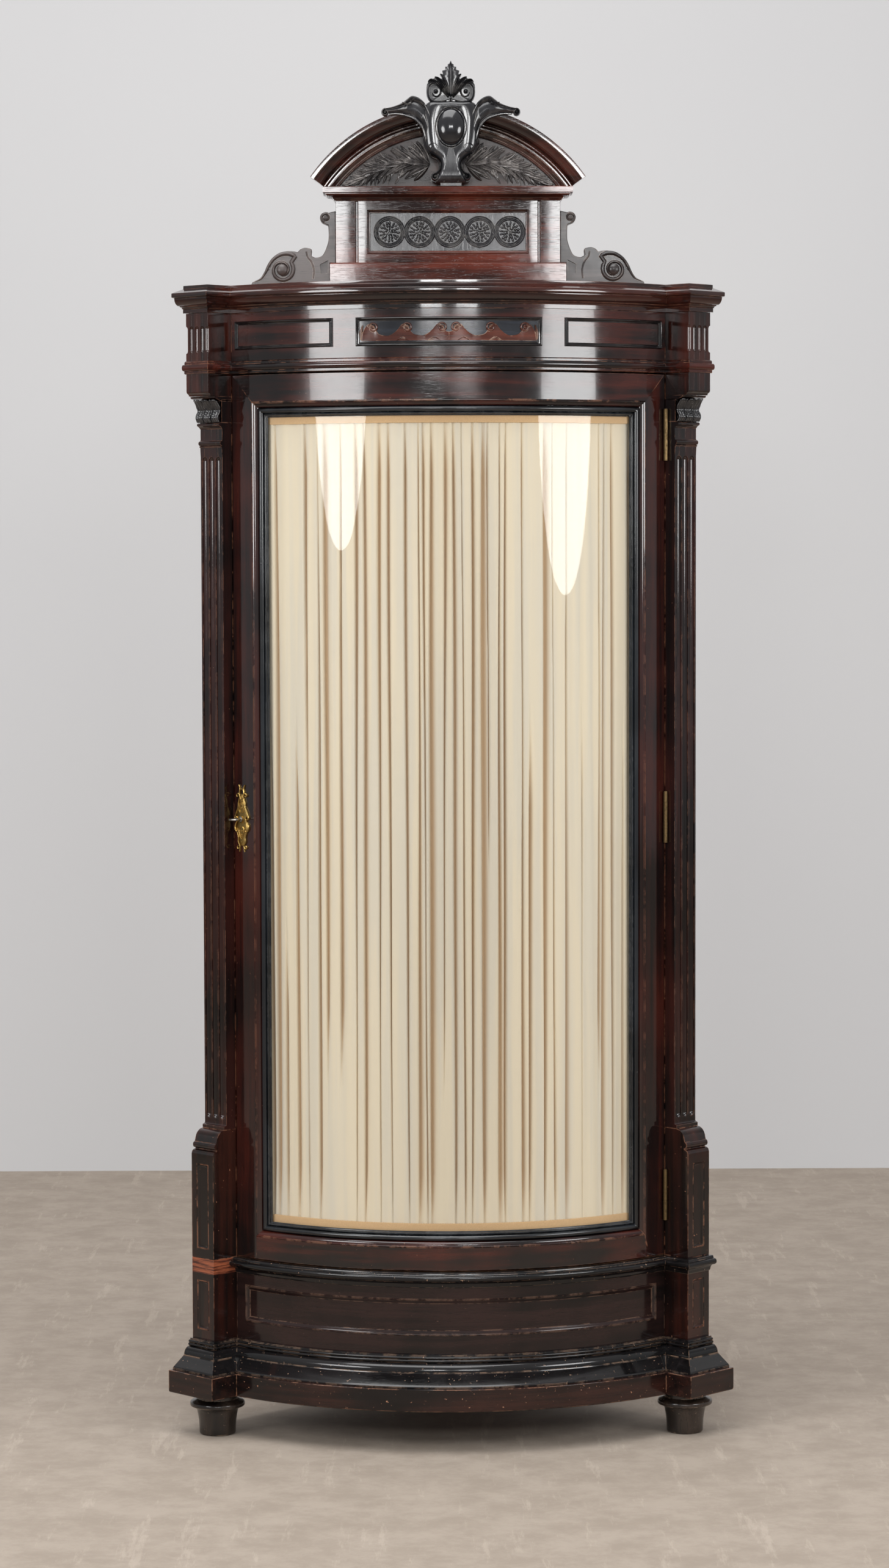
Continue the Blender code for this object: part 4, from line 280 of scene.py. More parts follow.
dark("dark_panel", "bow", (16, 12, 12), (44, 28, 26), (140, 108, 90), 0.9, 0.13, 0.15, 1.38, 0.0022)
dark("crest_wood", "across", (30, 13, 10), (96, 38, 23), (150, 112, 92), 0.5, 0.05, 0.25, 1.42)
dark("arch_wood", "across", (26, 14, 12), (68, 31, 24), (168, 144, 128), 0.7, 0.09, 0.6)
dark("tympanum_wood", "across", (30, 19, 17), (64, 38, 32), (130, 98, 80), 0.6, 0.22, 0.05, 1.36)
dark("wave_wood", "bow", (60, 28, 20), (108, 54, 38), (184, 152, 130), 0.9, 0.14)
dark("ebony_round", "bow", (10, 10, 11), (24, 21, 22), (158, 128, 106), 0.9, 0.12, 0.25, 1.42, 0.0022, 1.0)
dark("ebony_frame", "bow", (10, 10, 12), (24, 22, 24), (96, 82, 74), 0.4, 0.1, 0.5)
dark("ebony_ground", "bow", (24, 26, 32), (48, 52, 62), (96, 92, 92), 0.3, 0.16, 0.4)
dark("ebony_bead", "up", (14, 16, 19), (30, 34, 39), (106, 106, 106), 0.5, 0.18)
# The laurel's ebonised wood is painted a lighter grey, a painted highlight for light the leaves catch too
# little of.
dark("laurel_painted_light", "up", (66, 63, 64), (124, 119, 117), (190, 184, 180), 0.9, 0.16, 0.5)
dark("ebony_carved", "up", (24, 24, 27), (56, 55, 58), (140, 136, 132), 0.9, 0.18, 0.4)
dark("ebony_worn", "across", (36, 31, 31), (76, 67, 65), (164, 150, 142), 1.0, 0.36, 0.1)
dark("foot_wood", "up", (22, 18, 17), (58, 47, 40), (168, 144, 122), 1.0, 0.2, 0.2, rubbed=0.004, specks=0.8)

braid = Finish("braid", Sheen_Weight=0.3)
twist = braid.noise(braid.place(), 700, 3)
looks["braid"] = braid.feed(Base_Color=braid.mix(twist, rgb(196, 158, 112), rgb(232, 198, 152)),
                            Roughness=braid.step(twist, 0, 1, 0.8, 0.95))

# A near-black, matt finish: painted shade for the inside of the keyhole.
shadow = Finish("keyhole_painted_shade", Roughness=0.9)
hole_shade = shadow.mix(shadow.noise(shadow.place(), 300), rgb(8, 6, 5), rgb(16, 12, 10))
looks["keyhole_painted_shade"] = shadow.feed(Base_Color=hole_shade)

slots = {part["node"]: part["material_slot"] for part in frame["record"]["subparts"]}
for name, node in nodes.items():
    node.data.materials.clear()
    node.data.materials.append(looks[slots[name]])


# Modelling

MIRROR = Matrix.Diagonal((-1, 1, 1, 1))


def only(*chosen):
    """Selects these objects, the first one active."""
    bpy.ops.object.select_all(action="DESELECT")
    for thing in chosen:
        thing.select_set(True)
    bpy.context.view_layer.objects.active = chosen[0]


class Shape:
    """A mesh being modelled. What an operator works on is picked in code, by its place or its normal."""

    def __init__(self, made, name):
        self.object = made
        self.object.name = name
        self.object.data.name = name

    def mesh(self):
        return bmesh.from_edit_mesh(self.object.data)

    def update(self):
        bmesh.update_edit_mesh(self.object.data)

    def pick(self, test):
        """Selects the faces whose middle and normal pass a test."""
        bpy.ops.mesh.select_all(action="DESELECT")
        bpy.ops.mesh.select_mode(type="FACE")
        bm = self.mesh()
        for face in bm.faces:
            face.select = bool(test(face.calc_center_median(), face.normal))
        bm.select_flush_mode()
        self.update()
        return self

    def inset(self, *steps):
        """Mitred steps into the picked face: (width, rise) in millimetres."""
        for width, rise in steps:
            bpy.ops.mesh.inset(thickness=width / 1000, depth=rise / 1000, use_even_offset=True)
        return self

    def cut(self, axis, places):
        """Slices the whole mesh across an axis, so that it can bend or take a panel there."""
        normal = [float(a == axis) for a in "xyz"]
        for place in places:
            bpy.ops.mesh.select_all(action="SELECT")
            bpy.ops.mesh.bisect(plane_co=[n * place for n in normal], plane_no=normal)
        return self

    def trim(self, place, normal):
        """Cuts off what lies beyond a plane."""
        bpy.ops.mesh.select_all(action="SELECT")
        bpy.ops.mesh.bisect(plane_co=place, plane_no=normal, use_fill=True, clear_outer=True)
        return self

    def put(self, points):
        """Moves the picked ring's points, each known by its number."""
        bm = self.mesh()
        number = bm.verts.layers.int["point"]
        for vert in bm.verts:
            if vert.select:
                vert.co = points[vert[number]]
        self.update()
        return self

    def ring(self, points):
        """One more ring of the same section."""
        bpy.ops.mesh.extrude_region_move(TRANSFORM_OT_translate={"value": (0, 0, 0)})
        return self.put(points)

    def out_of_edit(self):
        """Ends the modelling: merged, and with its normals outwards."""
        bpy.ops.mesh.select_all(action="SELECT")
        bpy.ops.mesh.remove_doubles(threshold=0.00001)
        bpy.ops.mesh.normals_make_consistent(inside=False)
        bpy.ops.object.mode_set(mode="OBJECT")
        return self

    def modify(self, kind, **settings):
        """Adds a modifier and applies it."""
        modifier = self.object.modifiers.new(kind, kind)
        for name, value in settings.items():
            setattr(modifier, name, value)
        bpy.context.view_layer.objects.active = self.object
        bpy.ops.object.modifier_apply(modifier=modifier.name)
        return self

    def without(self, cutter):
        """Cuts another shape out of this one."""
        self.modify("BOOLEAN", object=cutter.object, operation="DIFFERENCE", solver="EXACT")
        bpy.data.objects.remove(cutter.object)

    def bent(self):
        """Bends what was made flat, x along the bow and -y out from it, round the bow."""
        xs = [v.co.x for v in self.object.data.vertices]
        self.modify("SIMPLE_DEFORM", deform_method="BEND", deform_axis="Z", angle=(max(xs) - min(xs)) / BOW)
        return self.moved(Matrix.Translation((0, CENTRE_Y - BOW, 0)))

    def bowed(self, left, right):
        """Slices a flat piece between its ends and bends it round the bow."""
        return self.cut("x", slices(left, right)).out_of_edit().bent()

    def moved(self, matrix):
        self.object.data.transform(matrix)
        return self

    def again(self, matrix, name="copy"):
        """A copy with its own mesh, put elsewhere."""
        only(self.object)
        bpy.ops.object.duplicate()
        return Shape(bpy.context.object, name).moved(matrix)

    def dress(self, look, *stands_for, body="carcass", smooth=32):
        """The finished piece: shaded, with its finish, on its body, and in the place of its nodes."""
        only(self.object)
        bpy.ops.object.shade_smooth_by_angle(angle=math.radians(smooth))
        if smooth < 90:
            self.modify("WEIGHTED_NORMAL", keep_sharp=True, weight=60)
        self.object.data.materials.append(looks[look])
        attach(self.object, body)
        if stands_for:
            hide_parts(*stands_for)
        return self.object

    def pair(self, look, *node, **more):
        """Dresses a right-hand piece, and its mirrored twin for the left."""
        left = self.again(MIRROR, self.object.name.replace("right", "left"))
        bpy.ops.object.mode_set(mode="EDIT")
        left.out_of_edit()
        for shape, side in ((self, "_right"), (left, "_left")):
            shape.dress(look, *[part + side for part in node], **more)


def primitive(name, kind, **size):
    """A primitive, open for modelling."""
    bpy.ops.object.select_all(action="DESELECT")
    getattr(bpy.ops.mesh, f"primitive_{kind}_add")(**size)
    shape = Shape(bpy.context.object, name)
    bpy.ops.object.transform_apply()
    bpy.ops.object.mode_set(mode="EDIT")
    bpy.ops.mesh.select_mode(type="VERT")
    return shape


def block_shape(name, low, high):
    """A plain bar as a start, between two corners."""
    size = [h - l for l, h in zip(low, high)]
    middle = [(l + h) / 2 for l, h in zip(low, high)]
    return primitive(name, "cube", size=1, location=middle, scale=size)


def lofted(name, rings, filled=True):
    """A shape drawn out through rings of as many points each."""
    shape = primitive(name, "circle", vertices=len(rings[0]), fill_type="NOTHING")
    bm = shape.mesh()
    number = bm.verts.layers.int.new("point")
    bm.verts.ensure_lookup_table()
    for i, vert in enumerate(bm.verts):
        vert[number] = i
    shape.update()
    bpy.ops.mesh.select_all(action="SELECT")
    shape.put(rings[0])
    if filled:
        bpy.ops.mesh.edge_face_add()
    for points in rings[1:]:
        shape.ring(points)
    return shape


def joined(name, pieces):
    """Several finished shapes as one object."""
    only(*[piece.object for piece in pieces])
    bpy.ops.object.join()
    bpy.ops.object.mode_set(mode="EDIT")
    return Shape(pieces[0].object, name).out_of_edit()


def both(pieces, mirror=MIRROR):
    """Carvings of one side, with their mirrored copies."""
    return pieces + [piece.again(mirror) for piece in pieces]


def curve(start, end, hollow, steps):
    """A quarter round or hollow between two profile points, without its first point."""
    points = []
    for i in range(1, steps + 1):
        turn = math.pi / 2 * i / steps
        across, up = math.sin(turn), 1 - math.cos(turn)
        if hollow:
            across, up = up, across
        points.append((start[0] + (end[0] - start[0]) * across, start[1] + (end[1] - start[1]) * up))
    return points


def bead(start, end, bulge, steps):
    """A rounded bead between two profile points, with both of them."""
    (x0, z0), (x1, z1) = start, end
    length = math.hypot(x1 - x0, z1 - z0)
    aside = ((z1 - z0) / length, -(x1 - x0) / length)
    points = []
    for i in range(steps + 1):
        along, rise = (1 - math.cos(math.pi * i / steps)) / 2, bulge * math.sin(math.pi * i / steps)
        points.append((x0 + (x1 - x0) * along + aside[0] * rise, z0 + (z1 - z0) * along + aside[1] * rise))
    return points


def drawn(low, *steps):
    """A profile in millimetres, out and up from a height: points, hollows or rounds to a point, and beads."""
    line = []
    for step in steps:
        if step[0] == "bead":
            line += bead(step[1:3], step[3:5], *step[5:])
        elif step[0] in ("hollow", "round"):
            line += curve(line[-1], step[1:3], step[0] == "hollow", step[3])
        else:
            line.append(step)
    return [(out / 1000, low + up / 1000) for out, up in line]


def oval_turns(centre, radii, turns):
    """Profile points on an oval, at turns in radians from the side nearer to the start."""
    return [(centre[0] - radii[0] * math.cos(t), centre[1] + radii[1] * math.sin(t)) for t in turns]


def on_block(side, along, out):
    """Plan point beside a block, along its face into the bow and out from the bow's end."""
    half = math.sqrt(0.5)
    return side * (HALF_CHORD + (out - along) * half), CHORD_Y - (along + out) * half


def on_bow(angle, out):
    """Plan point on the bow, or out from it."""
    reach = BOW + out
    return reach * math.sin(angle), CENTRE_Y - reach * math.cos(angle)


def mitre_angle(out):
    """Where the bow's line, moved out, meets the line moved out from a block's side."""
    return math.radians(45) - math.asin(out / (BOW + out))


def moulding(name, profile, left_return=True):
    """A moulding of (out, z) points round the blocks and the bow, mitred at each corner."""
    widest, clear = mitre_angle(max(out for out, _ in profile)), 0.0004

    def wall(side):
        return [(*on_block(side, -BLOCK_WIDTH, BLOCK_OUT + out), z) for out, z in profile]

    def outer(side):
        return [(*on_block(side, out, BLOCK_OUT + out), z) for out, z in profile]

    def inner(side):
        return [(*on_bow(side * mitre_angle(out), out), z) for out, z in profile]

    start = -widest if left_return else math.radians(-45) + clear
    first = [(*on_bow(start, out), z) for out, z in profile]
    shape = lofted(name, [wall(-1), outer(-1), inner(-1), first] if left_return else [first])
    bpy.ops.mesh.spin(steps=56, angle=widest - start, center=(0, CENTRE_Y, 0), axis=(0, 0, -1))
    return shape.ring(inner(1)).ring(outer(1)).ring(wall(1)).out_of_edit()


def frame_of(name, left, right, bottom, top, profile):
    """A mitred frame of (inset, out) points, bent round the bow."""
    corners = [(left, bottom, 1, 1), (right, bottom, -1, 1), (right, top, -1, -1), (left, top, 1, -1)]
    rings = [[(x + dx * inset, -out, z + dz * inset) for inset, out in profile] for x, z, dx, dz in corners]
    return lofted(name, rings + rings[:1], filled=False).bowed(left, right)


def slices(left, right, step=0.0125):
    """Places between two ends, a step apart."""
    count = max(int((right - left) / step), 1)
    return [left + (right - left) * i / count for i in range(1, count)]


def heights(node):
    """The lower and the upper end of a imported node."""
    low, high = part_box(node)
    return low.z, high.z


TO_BLOCK = Matrix.Translation((HALF_CHORD, CHORD_Y, 0)) @ Matrix.Rotation(math.radians(45), 4, "Z")


# The clearance between neighbouring pieces
GAP = 0.0003

# Heights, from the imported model
PLINTH_LOW, PLINTH_TOP = heights("plinth")
BASE_TOP = heights("base_moulding")[1]
WAIST_LOW, WAIST_TOP = heights("waist_moulding")
DOOR_LOW, DOOR_TOP = heights("door_stile_lock")
NECKING_LOW, NECKING_TOP = heights("frieze_astragal")
CORNICE_LOW, CORNICE_TOP = heights("cornice")
FRIEZE_LOW, FRIEZE_HIGH = NECKING_TOP + 0.02, NECKING_TOP + 0.0715

# Lengths along the bow
HALF_ARC = BOW * math.radians(45)
MIDDLE_HALF = BOW * math.radians(17.3)
BOARD_THICK = 0.018


def make_plinth():
    """The frame on the feet, its front following the bow and its back open underneath."""
    columns, border, hole_turn = 44, 0.05, math.radians(40.5)
    back_half, back_y = 0.015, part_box("plinth")[1].y
    hole_half, hole_y = 0.0475, 0.1787
    shares = [2 * k / columns - 1 for k in range(columns + 1)]

    def outline(out, z):
        reach = BLOCK_OUT + out
        ring = [on_block(-1, -BLOCK_WIDTH, reach), on_block(-1, out, reach)]
        ring += [on_bow(mitre_angle(out) * share, out) for share in shares]
        ring += [on_block(1, out, reach), on_block(1, -BLOCK_WIDTH, reach), (back_half, back_y),
                 (-back_half, back_y)]
        return [(*point, z) for point in ring]

    def hole(z):
        bow = [on_bow(hole_turn * share, -border) for share in shares]
        ring = bow[:1] * 2 + bow + bow[-1:] * 2 + [(hole_half, hole_y), (-hole_half, hole_y)]
        return [(*point, z) for point in ring]

    low, high = PLINTH_LOW, PLINTH_TOP
    rings = [outline(*level) for level in ((0.056, low), (0.0586, low + 0.0012), (0.06, low + 0.0042),
                                           (0.06, high - 0.0012), (0.0595, high - 0.0003), (0.0585, high))]
    rings += [hole(high), hole(low), rings[0]]
    lofted("plinth_frame", rings, filled=False).out_of_edit().dress("plinth_wood", "plinth")


def run(name, look, node, low, high, *steps, **more):
    """A moulding told in millimetres from its lower edge, with a flat back and an upper edge at high."""
    back = GAP * 1000
    tall = (high - low) * 1000
    steps = [step if step[-1] != "top" else (step[0], tall) for step in steps]
    moulding(name, drawn(low, (back, 0), *steps, (back, tall)), **more).dress(look, node)


def make_mouldings():
    """From the base up. The waist's return round the left block is lost, and the scar shows."""
    run("base_moulding_run", "ebony_round", "base_moulding", PLINTH_TOP + GAP, BASE_TOP,
        (50, 0), (50, 2.2), (48.2, 4.2), (47, 5), (24.2, 20.7), (23.6, 22.2), (22.2, 22.4),
        ("hollow", 8.7, 37.5, 8), ("bead", 9, 38, 9, 43.5, 2.6, 6), ("bead", 8.6, 43.8, 8, 48.8, 2.4, 6),
        (6.6, 49.2), (6.2, "top"))
    tall = (WAIST_TOP - WAIST_LOW) * 1000
    run("waist_moulding_run", "ebony_round", "waist_moulding", WAIST_LOW, WAIST_TOP,
        (1.9, 0), (3.8, 2.9), ("hollow", 13.7, 12.5, 7), (14.6, 12.8), ("bead", 15, 13.4, 15, 23.6, 4, 8),
        (12, 24.2), (11.2, 25), ("hollow", 9, tall - 0.2, 3), (8.6, "top"), left_return=False)
    run("frieze_necking", "bow_wood", "frieze_astragal", NECKING_LOW, NECKING_TOP,
        (3.3, 0), (5, 1.4), (5, 5.2), (6.6, 5.6), ("bead", 7.4, 5.8, 7.4, 17, 3.6, 10), (6, 17.4),
        (4.4, 17.8), (4.4, 21.6), (3.4, 22.4), (2.2, "top"))
    tall = (CORNICE_TOP - CORNICE_LOW) * 1000
    run("cornice_run", "cornice_wood", "cornice", CORNICE_LOW, CORNICE_TOP,
        (7, 0), (7, 7), (9.2, 7.8), ("hollow", 14.5, 11, 4), (15, 12.4), (16.8, 12.6),
        ("round", 28.2, 25.8, 8), (30, 26.8), (32.5, 27.2), ("round", 35, 29, 3), (35, 33.8), (34.2, 35.2),
        (32.2, 36), (8.4, 43.4), (6.4, 44), (6, 44.8), (6, tall - 0.6), (5.4, "top"))


def make_dado():
    """Curved board with a sunk panel inside a bead and a small hollow."""
    low, high = heights("dado_board")
    half = HALF_ARC - GAP
    side, bottom, top = half - 0.023, BASE_TOP + 0.034, BASE_TOP + 0.101
    shape = block_shape("dado_panel", (-half, 0, low), (half, BOARD_THICK, high))
    shape.cut("x", (-side, side)).cut("z", (bottom, top))
    shape.pick(lambda c, n: n.y < -0.9 and abs(c.x) < side and bottom < c.z < top)
    shape.inset((0.3, 0.9), (0.8, 0.9), (0.8, 0), (0.8, -0.7), (0.4, -1))
    shape.inset((1.2, -0.4), (1.6, -1), (1.6, -0.8), (1, -0.5), (0.3, -1.3))
    shape.bowed(-half, half).dress("dark_panel", "dado_board")


def make_frieze():
    """The bowed board with its three mitred frames."""
    half = HALF_ARC - GAP
    low, high = heights("frieze_board")
    ground = block_shape("frieze_ground", (-half, 0, low), (half, BOARD_THICK, high - GAP))
    ground.bowed(-half, half).dress("bow_wood", "frieze_board")
    profile = drawn(0, (0, 0.2), (0, 1.6), (0.4, 2.4), (0.7, 2.8), (1.3, 3.7), (2.1, 4), (2.9, 3.7),
                    (3.5, 2.8), (4, 2.2), (4.6, 1.2), (5.6, 0.9), (6.6, 1.2), (7, 0.6), (7, 0.2))
    near, far = BOW * math.radians(21.8), BOW * math.radians(43.8)
    for name, left, right in (("left", -far, -near), ("right", near, far),
                              ("middle", -MIDDLE_HALF, MIDDLE_HALF)):
        frame_of("frieze_frame_" + name, left, right, FRIEZE_LOW, FRIEZE_HIGH, profile).dress("ebony_frame")


def fluted(name, face, levels, flutes, corners=False):
    """A bar with round flutes: each level is (height, flute radius, how far the face steps out)."""
    steps = 10
    turns = [math.pi * k / steps for k in range(steps + 1)]

    def ring(z, radius, front):
        out = face + front

        def groove(centre):
            return [(centre - radius * math.cos(a), out - radius * 0.8 * math.sin(a)) for a in turns]

        left = groove(-BLOCK_WIDTH)[steps // 2:] if corners else [(-BLOCK_WIDTH, out)]
        right = groove(0)[:steps // 2 + 1] if corners else [(0, out)]
        line = left + [point for centre in flutes for point in groove(centre)] + right
        return [(-along, -reach, z) for along, reach in [(-BLOCK_WIDTH, GAP)] + line + [(0, GAP)]]

    return lofted(name, [ring(*level) for level in levels]).out_of_edit().moved(TO_BLOCK)


def flute_ends(bottom, top, radius):
    """Levels that round off the flutes at both ends."""
    turns = [math.radians(a) for a in (2, 20, 40, 60, 80, 90)]
    low = [(bottom + radius * (1 - math.cos(t)), radius * math.sin(t), 0) for t in turns]
    return low + [(top + bottom - z, r, 0) for z, r, _ in reversed(low)]


def plain(base, *levels):
    """Levels without visible flutes, in millimetres: (up from a base, how far the face steps out)."""
    return [(base + up / 1000, 0.0001, front / 1000) for up, front in levels]


def make_pilasters():
    """Foot, fluted shaft, astragal, neck and collar."""
    bottom, top = heights("pilaster_right")
    shaft_top = top - 0.0449
    levels = plain(bottom, (0, 6), (5.5, 6), (6.2, 5.2))
    levels += plain(bottom, *[(9.7 - 3 * math.cos(t), 4 - 3.8 * math.sin(t)) for t in (0.1, 0.5, 1.0, 1.4)])
    levels += flute_ends(bottom + 0.0187, shaft_top - 0.017, 0.0072)
    for base, height, rise in ((0, 3, 2.2), (3.2, 8.8, 4.6)):
        levels += plain(shaft_top, *[(base + height * (1 - math.cos(t)) / 2, 1 + rise * math.sin(t))
                                     for t in (0.0, 0.5, 1.05, 1.57, 2.1, 2.65, 3.14)])
    levels += plain(shaft_top, (13, 0.6), (14, 0), (33.5, 0))
    levels += plain(shaft_top, *[(33.9 + 5.2 * t, 1.5 + 6.2 * t * t) for t in (0, 0.25, 0.5, 0.75, 1.0)])
    levels += plain(shaft_top, (39.7, 8.6), (42.9, 8.6), (44.9, 6))
    pitch = BLOCK_WIDTH / 3.25
    flutes = [-BLOCK_WIDTH / 2 + pitch * i for i in (-1, 0, 1)]
    fluted("pilaster_shaft_right", SHAFT_OUT, levels, flutes).pair("pilaster_wood", "pilaster", smooth=38)


def make_frieze_blocks():
    """Fluted blocks over the capitals, each on a small step."""
    bottom, top = heights("frieze_block_right")
    levels = plain(bottom, (0, -6.2), (1.2, -6))
    levels += plain(bottom, *[(1.2 + 4 * t, -6 + 4.6 * t * t) for t in (0.3, 0.6, 0.85, 1.0)])
    levels += plain(bottom, (6.6, -0.8), (7.8, 0))
    levels += flute_ends(NECKING_TOP + 0.014, NECKING_TOP + 0.063, 0.0052) + plain(top - GAP, (0, 0))
    flutes = [-BLOCK_WIDTH * share for share in (0.75, 0.5, 0.25)]
    shape = fluted("fluted_block_right", BLOCK_OUT, levels, flutes, corners=True)
    shape.pair("fluted_wood", "frieze_block", smooth=38)


def block_bar(name, outline, bottom, top):
    """A bar as wide as a block, from its side's (out, z) outline, with a beaded panel sunk in its front."""
    shape = lofted(name, [[(x, -out, z) for out, z in outline] for x in (0, BLOCK_WIDTH)])
    middle, half = BLOCK_WIDTH / 2, 0.0157
    shape.cut("x", (middle - half, middle + half)).cut("z", (bottom, top))
    bpy.ops.mesh.select_all(action="SELECT")
    bpy.ops.mesh.normals_make_consistent(inside=False)
    shape.pick(lambda c, n: n.y < -0.9 and abs(c.x - middle) < half and bottom < c.z < top
               and abs(c.y + BLOCK_OUT) < 0.001)
    shape.inset((0.2, -0.8), (0.6, 0.6), (0.7, 0.1), (0.6, -0.8), (0.5, -0.6))
    shape.inset((1.6, -1), (1.6, -0.6), (0.4, -0.2))
    return shape.out_of_edit().moved(TO_BLOCK)


def make_dies():
    """The pilasters' pedestals: a beaded panel, a bead and a hollow up to the shaft."""
    bottom = heights("upper_die_right")[0]
    die_top, top, panel = WAIST_TOP + 0.193, WAIST_TOP + 0.238, 0.157
    face, shaft = BLOCK_OUT, SHAFT_OUT + 0.006
    outline = [(GAP, bottom), (face, bottom), (face, die_top), (face - 0.0006, die_top + 0.001)]
    outline += curve(outline[-1], (face - 0.009, die_top + 0.0078), True, 5)
    outline += [(face - 0.0096, die_top + 0.0092)]
    outline += bead((face - 0.0088, die_top + 0.01), (face - 0.008, die_top + 0.0215), 0.005, 9)
    outline += curve((face - 0.009, die_top + 0.0225), (shaft, top - 0.0006), True, 9)
    outline += [(shaft, top), (GAP, top)]
    middle = (bottom + die_top) / 2
    block_bar("die_right", outline, middle - panel / 2, middle + panel / 2).pair("block_wood", "upper_die")


def pocket(shape, node, size, ahead):
    """Cuts a pocket for a node into the lock side's post, with its length along the bolt's way."""
    thrown = Vector((-0.7353, 0.67774, 0))
    low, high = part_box(node)
    half = Vector(size) / 2
    turn = Matrix.Rotation(math.atan2(thrown.y, thrown.x), 4, "Z")
    cutter = block_shape("cutter", -half, half).out_of_edit()
    shape.without(cutter.moved(Matrix.Translation((Vector(low) + Vector(high)) / 2 + thrown * ahead) @ turn))


def make_posts():
    """The block of the base and the thin post beside the door are one plank."""
    bottom, top = heights("post_right")
    back = -0.045
    outline = [(back, bottom), (BLOCK_OUT, bottom), (BLOCK_OUT, WAIST_TOP), (0, WAIST_TOP), (0, top - GAP),
               (back, top - GAP)]
    middle, half = (BASE_TOP + WAIST_LOW) / 2 + 0.003, 0.0455
    for name in ("right", "left"):
        shape = block_bar(f"post_plank_{name}", outline, middle - half, middle + half)
        if name == "left":
            shape.moved(MIRROR)
            shape.object.data.flip_normals()
            pocket(shape, "strike_plate", (0.0098, 0.0166, 0.0446), -0.00385)
            pocket(shape, "lock_bolt", (0.025, 0.0084, 0.0124), 0.0125)
        shape.dress("post_wood_" + name, "post_" + name)


def make_feet():
    """Turned feet that widen to a rim and a neck under the plinth."""
    profile = drawn(0, (30, 0), (32.8, 1.2), (33.5, 3.5), (33.7, 10), (34.5, 25), (36.2, 36), (37.2, 40.5),
                    ("hollow", 49.5, 52.5, 7), (50.3, 53.6), (50.5, 55.5), (50.5, 58), (49.7, 60),
                    (47.5, 61.8), (41, 64), (37.6, 66), (37.2, (PLINTH_LOW - GAP) * 1000))
    sides = 56
    turns = [math.tau * i / sides for i in range(sides)]
    for node in ("foot_left", "foot_right", "foot_back"):
        low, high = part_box(node)
        x, y = (low.x + high.x) / 2, (low.y + high.y) / 2
        rings = [[(x + radius * math.cos(t), y + radius * math.sin(t), z) for t in turns]
                 for radius, z in profile]
        lofted("turned_" + node, rings).out_of_edit().dress("foot_wood", node, smooth=40)


make_plinth()
make_mouldings()
make_dado()
make_frieze()
make_pilasters()
make_frieze_blocks()
make_dies()
make_posts()
make_feet()


# Door

STILE, TOP_RAIL, BOTTOM_RAIL, STICKING = 0.049, 0.049, 0.0414, 0.011
DOOR_HALF = HALF_ARC - 0.002
DOOR_BACK = -0.024
GLASS_OUT = -0.0148
CLOTH_BACK, CLOTH_DEEP = -0.0312, 0.0102
BRAID_HIGH = 0.015


def door_profile(width):
    """From the outer edge inwards: flat, a fine bead and a round cove, then the rebate and the back."""
    inner, rebate = width + STICKING, 0.006
    points = [(0, -0.0008), (0.0002, -0.0002), (0.0008, 0), (width - 0.0006, 0), (width, 0),
              (width + 0.0006, -0.0007)]
    points += oval_turns((width + 0.0016, -0.0006), (0.001, 0.0013), (0.2, 0.8, 1.57, 2.3, 2.9))
    points += [(width + 0.003, -0.0012)]
    points += curve(points[-1], (inner, -0.008), False, 7)
    return points + [(inner, -0.0145), (inner - rebate, -0.0145), (inner - rebate, DOOR_BACK), (0, DOOR_BACK)]


def make_stiles():
    """The upright frame pieces, mitred at the rails' sticking."""
    profile = door_profile(STILE)
    for side, node, name in ((-1, "door_stile_lock", "lock_stile"), (1, "door_stile_hinge", "hinge_stile")):
        foot, head = [], []
        for inward, out in profile:
            across = side * (DOOR_HALF - inward)
            rise = BOTTOM_RAIL + inward - STILE if inward > STILE else 0
            foot.append((across, -out, DOOR_LOW + rise))
            head.append((across, -out, DOOR_TOP - inward - GAP / 2))
        places = [side * (DOOR_HALF - inward) for inward in (0.0125, 0.025, 0.0375)]
        shape = lofted(name, [foot, head]).cut("x", places)
        shape.out_of_edit().bent().dress("door_wood", node, body="door")


def make_rails():
    """The bowed frame pieces between the stiles."""
    half = DOOR_HALF - GAP / 2
    top, bottom = door_profile(TOP_RAIL), door_profile(BOTTOM_RAIL)
    rings = [[(side * (half - inward), -out, DOOR_TOP - inward) for inward, out in top] for side in (-1, 1)]
    lofted("top_rail", rings).bowed(-DOOR_HALF, DOOR_HALF).dress("bow_wood", "door_rail_top", body="door")
    rings = [[(side * (half - STILE - max(inward - BOTTOM_RAIL, 0)), -out, DOOR_LOW + inward)
              for inward, out in bottom] for side in (-1, 1)]
    rail = lofted("bottom_rail", rings).bowed(-DOOR_HALF, DOOR_HALF)
    rail.dress("bow_wood", "door_rail_bottom", body="door")


def sight(inset):
    """What the door's frame leaves open, or less by an inset: left, right, bottom and top."""
    side = DOOR_HALF - STILE - STICKING - inset
    return -side, side, DOOR_LOW + BOTTOM_RAIL + STICKING + inset, DOOR_TOP - TOP_RAIL - STICKING - inset


def make_glazing():
    """The ebonised moulding in front of the glass: a broad reed, a small reed and a step."""
    base, width = -0.0145, 0.0172
    profile = [(0, base), (0, -0.009)]
    profile += oval_turns((0.0052, -0.0086), (0.005, 0.0056), (0.15, 0.5, 0.85, 1.2, 1.57, 1.95, 2.3, 2.65))
    profile += [(0.0099, -0.0082), (0.0103, -0.0104)]
    profile += oval_turns((0.0129, -0.0104), (0.0022, 0.003), (0.2, 0.8, 1.57, 2.3, 2.9))
    profile += [(0.0152, -0.0118), (0.0162, -0.0122), (width, -0.0128), (width, base)]
    frame_of("glazing_bead", *sight(GAP), profile).dress("ebony_bead", "glazing_moulding", body="door")
    left, right, bottom, top = sight(-0.0055)
    pane = block_shape("bowed_pane", (left, -GLASS_OUT, bottom), (right, -GLASS_OUT + 0.003, top))
    pane.bowed(left, right).dress("window_glass", "glass", body="door")


